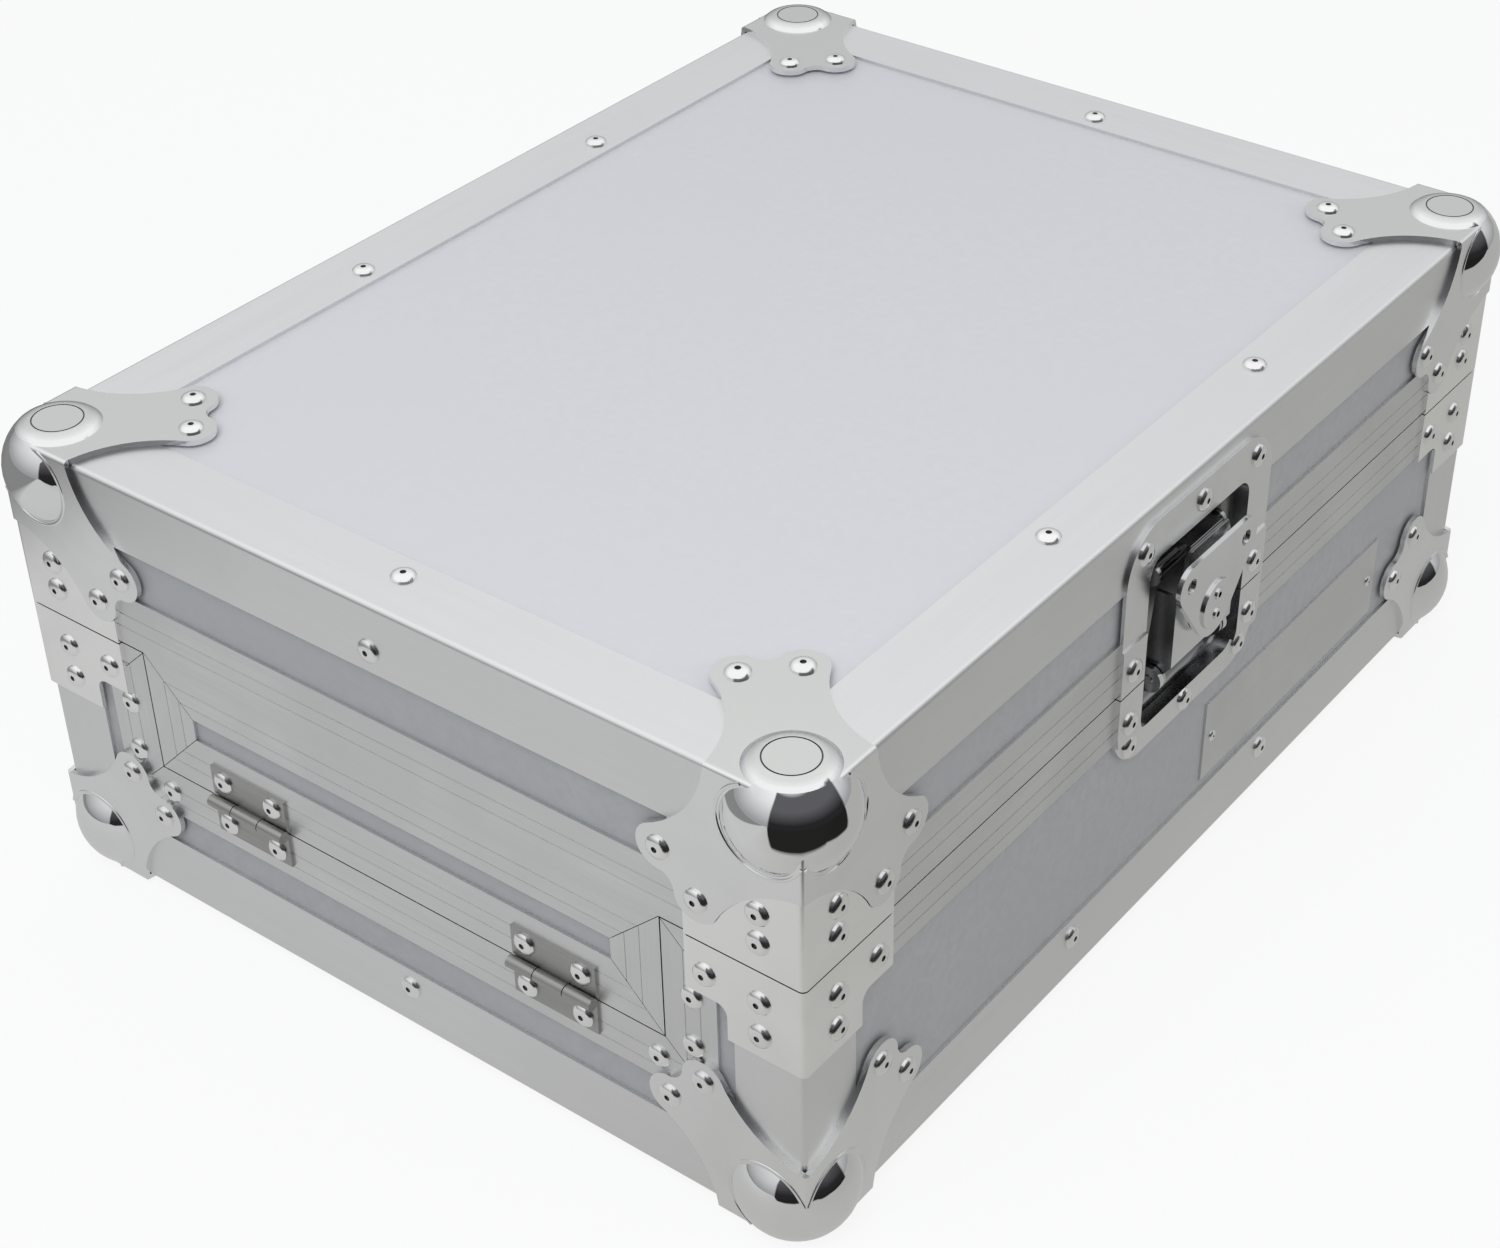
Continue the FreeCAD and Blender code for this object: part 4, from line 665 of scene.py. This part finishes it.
node_finishes = {
    "lid_top_panel": lit_top_laminate,
    "base_bottom_panel": wall_laminate,
    "flap_panel": wall_laminate,
    "lid_front_angle": angles["x"],
    "lid_rear_angle": angles["x"],
    "lid_end_angles": angles["y"],
    "lid_corner_angles": angles["z"],
    "base_front_angle": angles["x"],
    "base_rear_angle": angles["x"],
    "base_end_angles": angles["y"],
    "base_corner_angles": angles["z"],
    "lid_front_profile": profiles["x"],
    "lid_rear_profile": profiles["x"],
    "lid_left_profile": profiles["y"],
    "lid_right_profile": profiles["y"],
    "flap_top_rail": profiles["x"],
    "flap_bottom_rail": profiles["x"],
    "flap_stiles": profiles["z"],
    "base_front_profile": profiles["x"],
    "base_left_profile": profiles["y"],
    "base_right_profile": profiles["y"],
    "base_rear_profiles": profiles["x"],
    "base_rear_stiles": profiles["z"],
    "base_rear_rail": profiles["x"],
    "lid_ball_corners": ball_chrome,
    "base_ball_corners": ball_chrome,
    "lid_corner_braces": brace_nickel,
    "base_corner_braces": brace_nickel,
    "lid_rivets": rivet_bright,
    "base_rivets": rivet_bright,
    "hinge_lid_leaves": hinge_zinc,
    "hinge_base_leaves": hinge_zinc,
    "hinge_pins": hinge_zinc,
    "label_plate": label_satin,
    "latch_lid_dishes": dish_plate,
    "latch_base_dishes": dish_plate,
    "latch_keepers": keeper_plate,
    "latch_pins": keeper_plate,
    "left_latch_arm": arm_plate,
    "right_latch_arm": arm_plate,
    "left_latch_hub": hub_plate,
    "right_latch_hub": hub_plate,
    "left_latch_claw": keeper_plate,
    "right_latch_claw": keeper_plate,
    "handle_dish": handle_plate,
    "handle_grip": rubber_black,
    "lid_foam": foam_dark,
    "base_foam": foam_dark,
}
for part in ("lid", "base"):
    for face in ("front", "rear", "left", "right"):
        node_finishes["%s_%s_panel" % (part, face)] = wall_laminate
for name, obj in nodes.items():
    obj.data.materials.clear()
    obj.data.materials.append(node_finishes.get(name, latch_plate))


# New pieces
def finished_piece(name, mesh, material, body, replaced):
    """Links a mesh made in place as a piece that stands for CAD nodes."""
    obj = bpy.data.objects.new(name, mesh)
    bpy.context.scene.collection.objects.link(obj)
    mesh.materials.append(material)
    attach(obj, body)
    if replaced:
        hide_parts(*replaced)
    return obj


def smooth_mesh(name, bm, sharp_angle):
    """A mesh made of a bmesh, smooth but for its sharp edges."""
    mesh = bpy.data.meshes.new(name)
    bm.to_mesh(mesh)
    bm.free()
    for polygon in mesh.polygons:
        polygon.use_smooth = True
    mesh.set_sharp_from_angle(angle=sharp_angle)
    return mesh


def verts_of(geometry):
    """The vertices among what an operator gives back."""
    return [item for item in geometry if isinstance(item, bmesh.types.BMVert)]


def islands(bm):
    """The separate shells of a bmesh, as lists of vertices."""
    left = set(bm.verts)
    shells = []
    while left:
        todo = [left.pop()]
        shell = []
        while todo:
            vert = todo.pop()
            shell.append(vert)
            for edge in vert.link_edges:
                other = edge.other_vert(vert)
                if other in left:
                    left.remove(other)
                    todo.append(other)
        shells.append(shell)
    return shells


def pad_boxes(node):
    """The lowest and highest corner of every pad in a CAD node."""
    bm = bmesh.new()
    bm.from_mesh(nodes[node].data)
    bmesh.ops.remove_doubles(bm, verts=bm.verts, dist=weld_distance)
    boxes = []
    for shell in islands(bm):
        places = [vert.co for vert in shell]
        low = Vector([min(place[axis] for place in places) for axis in range(3)])
        high = Vector([max(place[axis] for place in places) for axis in range(3)])
        boxes.append((low, high))
    bm.free()
    return boxes


def foam_lining(node, body):
    """Soft pads with rounded edges in the places of a CAD node's pads."""
    bm = bmesh.new()
    for low, high in pad_boxes(node):
        pad = bmesh.ops.create_cube(bm, size=1.0)["verts"]
        size = high - low
        place = Matrix.Translation((low + high) / 2) @ Matrix.Diagonal(size.to_4d())
        bmesh.ops.transform(bm, verts=pad, matrix=place)
        edges = list({edge for vert in pad for edge in vert.link_edges})
        bmesh.ops.bevel(bm, geom=edges, offset=foam_round, offset_type="OFFSET", affect="EDGES",
                        segments=foam_round_steps, profile=0.5, material=-1)
    mesh = smooth_mesh(node + "_lining", bm, foam_sharp_angle)
    lining = finished_piece(node + "_lining", mesh, foam_dark, body, [node])
    return lining


def collar_arc(bm, centre, out, first, second):
    """A half-round bead on one foot, from one fold to the other round the ball's far side."""
    reach = math.acos(-(ball_inset + foot_proud / 2) / collar_radius)
    start = first * math.cos(math.pi / 2 - reach) + second * math.sin(math.pi / 2 - reach)
    section = [(-collar_half_width, -collar_seat), (collar_half_width, -collar_seat)]
    section += [(collar_half_width * math.cos(turn), collar_height * math.sin(turn))
                for turn in (math.pi * step / collar_bead_steps for step in range(1, collar_bead_steps))]
    verts = [bm.verts.new(centre + start * (collar_radius + x) + out * z) for x, z in section]
    edges = [bm.edges.new(pair) for pair in zip(verts, verts[1:] + verts[:1])]
    turn = 2 * reach - math.pi / 2
    axis = first.cross(second)
    swept = bmesh.ops.spin(bm, geom=verts + edges, cent=centre, axis=axis, angle=turn, steps=collar_segments,
                           use_merge=False, use_duplicate=False)
    bm.faces.new(verts)
    bm.faces.new(verts_of(swept["geom_last"]))


def ball_collars(node, body, upper):
    """The pressed bead round each ball, on the two feet that stand upright."""
    low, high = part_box("base_end_angles")[0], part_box("lid_end_angles")[1]
    bm = bmesh.new()
    for x in (-1, 1):
        for y in (-1, 1):
            inward = [Vector((-x, 0, 0)), Vector((0, -y, 0)), Vector((0, 0, -1 if upper else 1))]
            x_end = high if x > 0 else low
            y_end = high if y > 0 else low
            z_end = high if upper else low
            corner = Vector((x_end.x, y_end.y, z_end.z))
            for axis in range(2):
                first, second = inward[(axis + 1) % 3], inward[(axis + 2) % 3]
                out = -inward[axis]
                centre = corner + (first + second) * ball_inset + out * foot_proud
                collar_arc(bm, centre, out, first, second)
    bmesh.ops.recalc_face_normals(bm, faces=bm.faces)
    mesh = smooth_mesh(node, bm, collar_sharp_angle)
    return finished_piece(node, mesh, ball_chrome, body, [])


def ribbed_grip():
    """The rubber grip: a sleeve turned round the bail's bar, ribbed along its length with rounded ends."""
    low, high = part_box("handle_grip")
    centre = (low + high) / 2
    radius = (high.z - low.z) / 2
    bar_low, bar_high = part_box("handle_pins")
    bore = (bar_high.z - bar_low.z) / 2 + grip_bore_gap
    half = (high.x - low.x) / 2
    steps = grip_rib_count * grip_rib_steps
    outline = [Vector((-half, bore, 0)), Vector((-half, radius - grip_end_round, 0))]
    for index in range(steps + 1):
        share = index / steps
        x = -half + grip_end_round + share * 2 * (half - grip_end_round)
        rib = grip_rib_depth * (0.5 - 0.5 * math.cos(share * grip_rib_count * 2 * math.pi))
        outline.append(Vector((x, radius - grip_rib_depth + rib, 0)))
    outline += [Vector((half, radius - grip_end_round, 0)), Vector((half, bore, 0))]
    bm = bmesh.new()
    verts = [bm.verts.new(centre + point) for point in outline]
    edges = [bm.edges.new(pair) for pair in zip(verts, verts[1:] + verts[:1])]
    bmesh.ops.spin(bm, geom=verts + edges, cent=centre, axis=(1, 0, 0), angle=2 * math.pi,
                   steps=grip_segments, use_merge=True, use_duplicate=False)
    bmesh.ops.remove_doubles(bm, verts=bm.verts, dist=weld_distance)
    bmesh.ops.recalc_face_normals(bm, faces=bm.faces)
    mesh = smooth_mesh("ribbed_grip", bm, grip_sharp_angle)
    return finished_piece("ribbed_grip", mesh, rubber_black, "handle", ["handle_grip"])


def rivet_places(node):
    """Each rivet of a CAD node: the middle of its head's foot, its outward direction and its radius."""
    case_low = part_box("base_end_angles")[0]
    case_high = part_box("lid_end_angles")[1]
    places = []
    for low, high in pad_boxes(node):
        best = None
        for axis in range(3):
            for sign, beyond in ((1, high[axis] - case_high[axis]), (-1, case_low[axis] - low[axis])):
                if best is None or beyond > best[0]:
                    best = (beyond, axis, sign)
        axis, sign = best[1:]
        out = Vector([sign if index == axis else 0 for index in range(3)])
        radius = max((high - low)[index] for index in range(3) if index != axis) / 2
        top = (low + high) / 2
        top[axis] = high[axis] if sign > 0 else low[axis]
        places.append((top - out * radius * rivet_height_share, out, radius))
    return places


def turned_piece(name, places, outline, material, body, replaced):
    """An outline turned once and set at every rivet, as one piece."""
    bm = bmesh.new()
    verts = [bm.verts.new((x, 0, z)) for x, z in outline]
    edges = [bm.edges.new(pair) for pair in zip(verts, verts[1:])]
    bmesh.ops.spin(bm, geom=verts + edges, cent=(0, 0, 0), axis=(0, 0, 1), angle=2 * math.pi,
                   steps=rivet_segments, use_merge=True, use_duplicate=False)
    bmesh.ops.remove_doubles(bm, verts=bm.verts, dist=rivet_weld_share)
    bmesh.ops.recalc_face_normals(bm, faces=bm.faces)
    pattern = list(bm.verts) + list(bm.edges) + list(bm.faces)
    for foot, out, radius in places:
        made = bmesh.ops.duplicate(bm, geom=pattern)["geom"]
        turn = out.to_track_quat("Z", "X").to_matrix().to_4x4()
        bmesh.ops.transform(bm, matrix=Matrix.Translation(foot) @ turn @ Matrix.Scale(radius, 4),
                            verts=verts_of(made))
    bmesh.ops.delete(bm, geom=verts_of(pattern), context="VERTS")
    mesh = smooth_mesh(name, bm, rivet_sharp_angle)
    return finished_piece(name, mesh, material, body, replaced)


def rivet_heads(node, body):
    """Domed heads with an open hole, and the ends of their mandrels in the holes, coloured near black as
    painted shade of the holes.
    """
    places = rivet_places(node)
    rise = rivet_height_share - rivet_rim_share
    dome = []
    for step in range(rivet_dome_steps + 1):
        out = 1.0 - (step / rivet_dome_steps) ** rivet_dome_spread * (1.0 - rivet_hole_share)
        dome.append((out, rivet_rim_share + rise * (1.0 - out ** rivet_dome_power)))
    hole_floor = rivet_height_share - rivet_hole_depth_share
    head = [(0.0, 0.0), (1.0, 0.0)] + dome + [(rivet_hole_share, hole_floor), (0.0, hole_floor)]
    turned_piece(node + "_heads", places, head, rivet_bright, body, [node])
    inner = rivet_hole_share * mandrel_fit_share
    end = rivet_height_share - rivet_mandrel_drop_share
    nose = inner * mandrel_nose_share
    shoulder = end - mandrel_nose_height
    mandrel = [(0.0, hole_floor), (inner, hole_floor), (inner, shoulder), (nose, end), (0.0, end)]
    turned_piece(node + "_mandrels", places, mandrel, mandrel_shaded, body, [])


ball_collars("base_ball_collars", "base", False)
ball_collars("lid_ball_collars", "lid", True)
rivet_heads("base_rivets", "base")
rivet_heads("lid_rivets", "lid")
foam_lining("base_foam", "base")
foam_lining("lid_foam", "lid")
ribbed_grip()


# Studio and camera
def mirrored_floor(tree):
    """The level and tint in which metal sees the floor: bright at the rear, then dim, then dark."""
    place = tree.nodes.new("ShaderNodeTexCoord")
    split = parts_of(tree, place, "Object")
    corner_reach = vector_maths(tree, "DOT_PRODUCT", place, "Object", dark_corner_towards)
    floor_reach = vector_maths(tree, "DOT_PRODUCT", place, "Object", dark_floor_towards)
    latch_end = span(tree, split, "X", *latch_floor_span, latch_floor_share, 1.0, "dimmer by the latch end")
    far_end = span(tree, split, "X", *far_floor_span, 1.0, far_floor_share, "floor's far end")
    rear = span(tree, split, "Y", *rear_floor_span, 1.0, rear_floor_gain, "brighter at the rear")
    corner_x = span(tree, split, "X", *dark_corner_spans[0], 1.0, 0.0, "past the latch end")
    corner_y = span(tree, split, "Y", *dark_corner_spans[1], 0.0, 1.0, "past the rear")
    corner_out = span(tree, corner_reach, "Value", *dark_corner_reach, 0.0, 1.0, "clear of the corner")
    corner = maths(tree, "MULTIPLY", (corner_x, "Result"), (corner_y, "Result"), "off the near corner")
    corner = maths(tree, "MULTIPLY", (corner, 0), (corner_out, "Result"), "off and clear of the near corner")
    beyond_x = span(tree, split, "X", *dark_floor_span, 1.0, 0.0, "far past the latch end")
    beyond_y = span(tree, floor_reach, "Value", *dark_floor_reach, 0.0, 1.0, "towards the rear")
    beyond = maths(tree, "MULTIPLY", (beyond_x, "Result"), (beyond_y, "Result"), "floor's near end")
    dark = maths(tree, "MAXIMUM", (corner, 0), (beyond, 0), "dark floor")
    near_end = span(tree, dark, 0, 0.0, 1.0, 1.0, dark_floor_share, "dark share")
    ends = maths(tree, "MULTIPLY", (far_end, "Result"), (near_end, "Result"), "both ends")
    ends = maths(tree, "MULTIPLY", (ends, 0), (rear, "Result"), "ends and rear")
    dimmed = maths(tree, "MULTIPLY", (ends, 0), (latch_end, "Result"), "dimmed")
    tint_share = span(tree, split, "X", *latch_floor_span, 1.0, 0.0, "by the latch end")
    tint = colour_mix(tree, (tint_share, "Result"), white, latch_floor_tint, "floor's tint")
    return maths(tree, "MULTIPLY", (dimmed, 0), floor_mirror_level, "level in metal"), tint


def studio_floor():
    """A pale floor that shows as white where no shadow falls."""
    bm = bmesh.new()
    bmesh.ops.create_grid(bm, x_segments=1, y_segments=1, size=floor_half)
    mesh = bpy.data.meshes.new("floor")
    bm.to_mesh(mesh)
    bm.free()
    floor = bpy.data.objects.new("floor", mesh)
    bpy.context.scene.collection.objects.link(floor)
    material = bpy.data.materials.new("floor_white")
    material.use_nodes = True
    tree = material.node_tree
    shader = tree.nodes["Principled BSDF"]
    shader.inputs["Base Color"].default_value = floor_colour
    shader.inputs["Roughness"].default_value = floor_roughness
    shader.inputs["Specular IOR Level"].default_value = 0.0
    glow = shader_node(tree, "Emission", "white backdrop", Color=white, Strength=1.0)
    rays = tree.nodes.new("ShaderNodeLightPath")
    share = maths(tree, "MULTIPLY", (rays, "Is Camera Ray"), floor_glow_share, "glow share")
    lit = shader_mix(tree, (share, 0), (shader, "BSDF"), (glow, "Emission"))
    mirrored = shader_node(tree, "Emission", "floor in metal")
    level, tint = mirrored_floor(tree)
    wire(tree, level, 0, mirrored, "Strength")
    wire(tree, *colour_of(tint), mirrored, "Color")
    mix = shader_mix(tree, (rays, "Is Glossy Ray"), (lit, "Shader"), (mirrored, "Emission"))
    wire(tree, mix, "Shader", tree.nodes["Material Output"], "Surface")
    mesh.materials.append(material)


def studio_world():
    """White for the camera, a soft fill, and for metal a room, grey to white upwards, with a dark side."""
    world = bpy.data.worlds.new("studio")
    bpy.context.scene.world = world
    world.use_nodes = True
    tree = world.node_tree
    fill = tree.nodes["Background"]
    fill.inputs["Color"].default_value = sky_fill
    fill.inputs["Strength"].default_value = sky_fill_strength
    rays = tree.nodes.new("ShaderNodeLightPath")
    place = tree.nodes.new("ShaderNodeTexCoord")
    towards = parts_of(tree, place, "Generated")
    side = span(tree, towards, "X", *dark_side_span, 1.0, 0.0, "on the latch side")
    behind = span(tree, towards, "Y", *dark_front_span, 0.0, 1.0, "not at the front")
    below = span(tree, towards, "Z", *dark_top_span, 1.0, 0.0, "below the ceiling")
    dark = maths(tree, "MULTIPLY", (side, "Result"), (behind, "Result"), "dark sides")
    dark = maths(tree, "MULTIPLY", (dark, 0), (below, "Result"), "dark side")
    rise = span(tree, towards, "Z", *room_rise, 0.0, 1.0, "height in the room")
    walls = colour_mix(tree, (rise, "Result"), room_wall, white, "walls to ceiling")
    dark_rise = span(tree, towards, "Z", *dark_side_rise, 0.0, 1.0, "height on the dark side")
    shade = colour_mix(tree, (dark_rise, "Result"), dark_side, dark_side_upper, "dark side")
    room = colour_mix(tree, (dark, 0), colour_of(walls), colour_of(shade), "room")
    mirrored = shader_node(tree, "Background", "room in metal", Strength=1.0)
    wire(tree, *colour_of(room), mirrored, "Color")
    backdrop = shader_node(tree, "Background", "white backdrop", Color=white, Strength=1.0)
    metal_mix = shader_mix(tree, (rays, "Is Glossy Ray"), (fill, "Background"), (mirrored, "Background"))
    camera_mix = shader_mix(tree, (rays, "Is Camera Ray"), (metal_mix, "Shader"), (backdrop, "Background"))
    wire(tree, camera_mix, "Shader", tree.nodes["World Output"], "Surface")


def soft_box(name, place, target, size, power, tint):
    """A square soft light that faces a point."""
    lamp = bpy.data.lights.new(name, "AREA")
    lamp.color = tint
    lamp.shape = "SQUARE"
    lamp.size = size
    lamp.energy = power
    obj = bpy.data.objects.new(name, lamp)
    bpy.context.scene.collection.objects.link(obj)
    obj.location = place
    obj.rotation_euler = (Vector(target) - Vector(place)).to_track_quat("-Z", "Y").to_euler()
    obj.visible_glossy = False


def photo_camera():
    """The camera that took the photograph."""
    data = bpy.data.cameras.new("photo_camera")
    data.sensor_width = camera_sensor
    data.lens = camera_lens
    data.shift_x, data.shift_y = camera_shift
    data.clip_start = camera_clip
    camera = bpy.data.objects.new("photo_camera", data)
    bpy.context.scene.collection.objects.link(camera)
    back = Vector((math.sin(camera_azimuth) * math.cos(camera_elevation),
                   -math.cos(camera_azimuth) * math.cos(camera_elevation), math.sin(camera_elevation)))
    turn = (-back).to_track_quat("-Z", "Y").to_matrix().to_4x4()
    camera.matrix_world = Matrix.Translation(camera_eye) @ turn @ Matrix.Rotation(camera_roll, 4, "Z")
    bpy.context.scene.camera = camera


studio_floor()
studio_world()
soft_box("key_light", key_light_place, case_middle, key_light_size, key_light_power, key_light_tint)
soft_box("end_light", end_light_place, case_middle, end_light_size, end_light_power, end_light_tint)
photo_camera()
bpy.context.scene.view_settings.view_transform = "Standard"
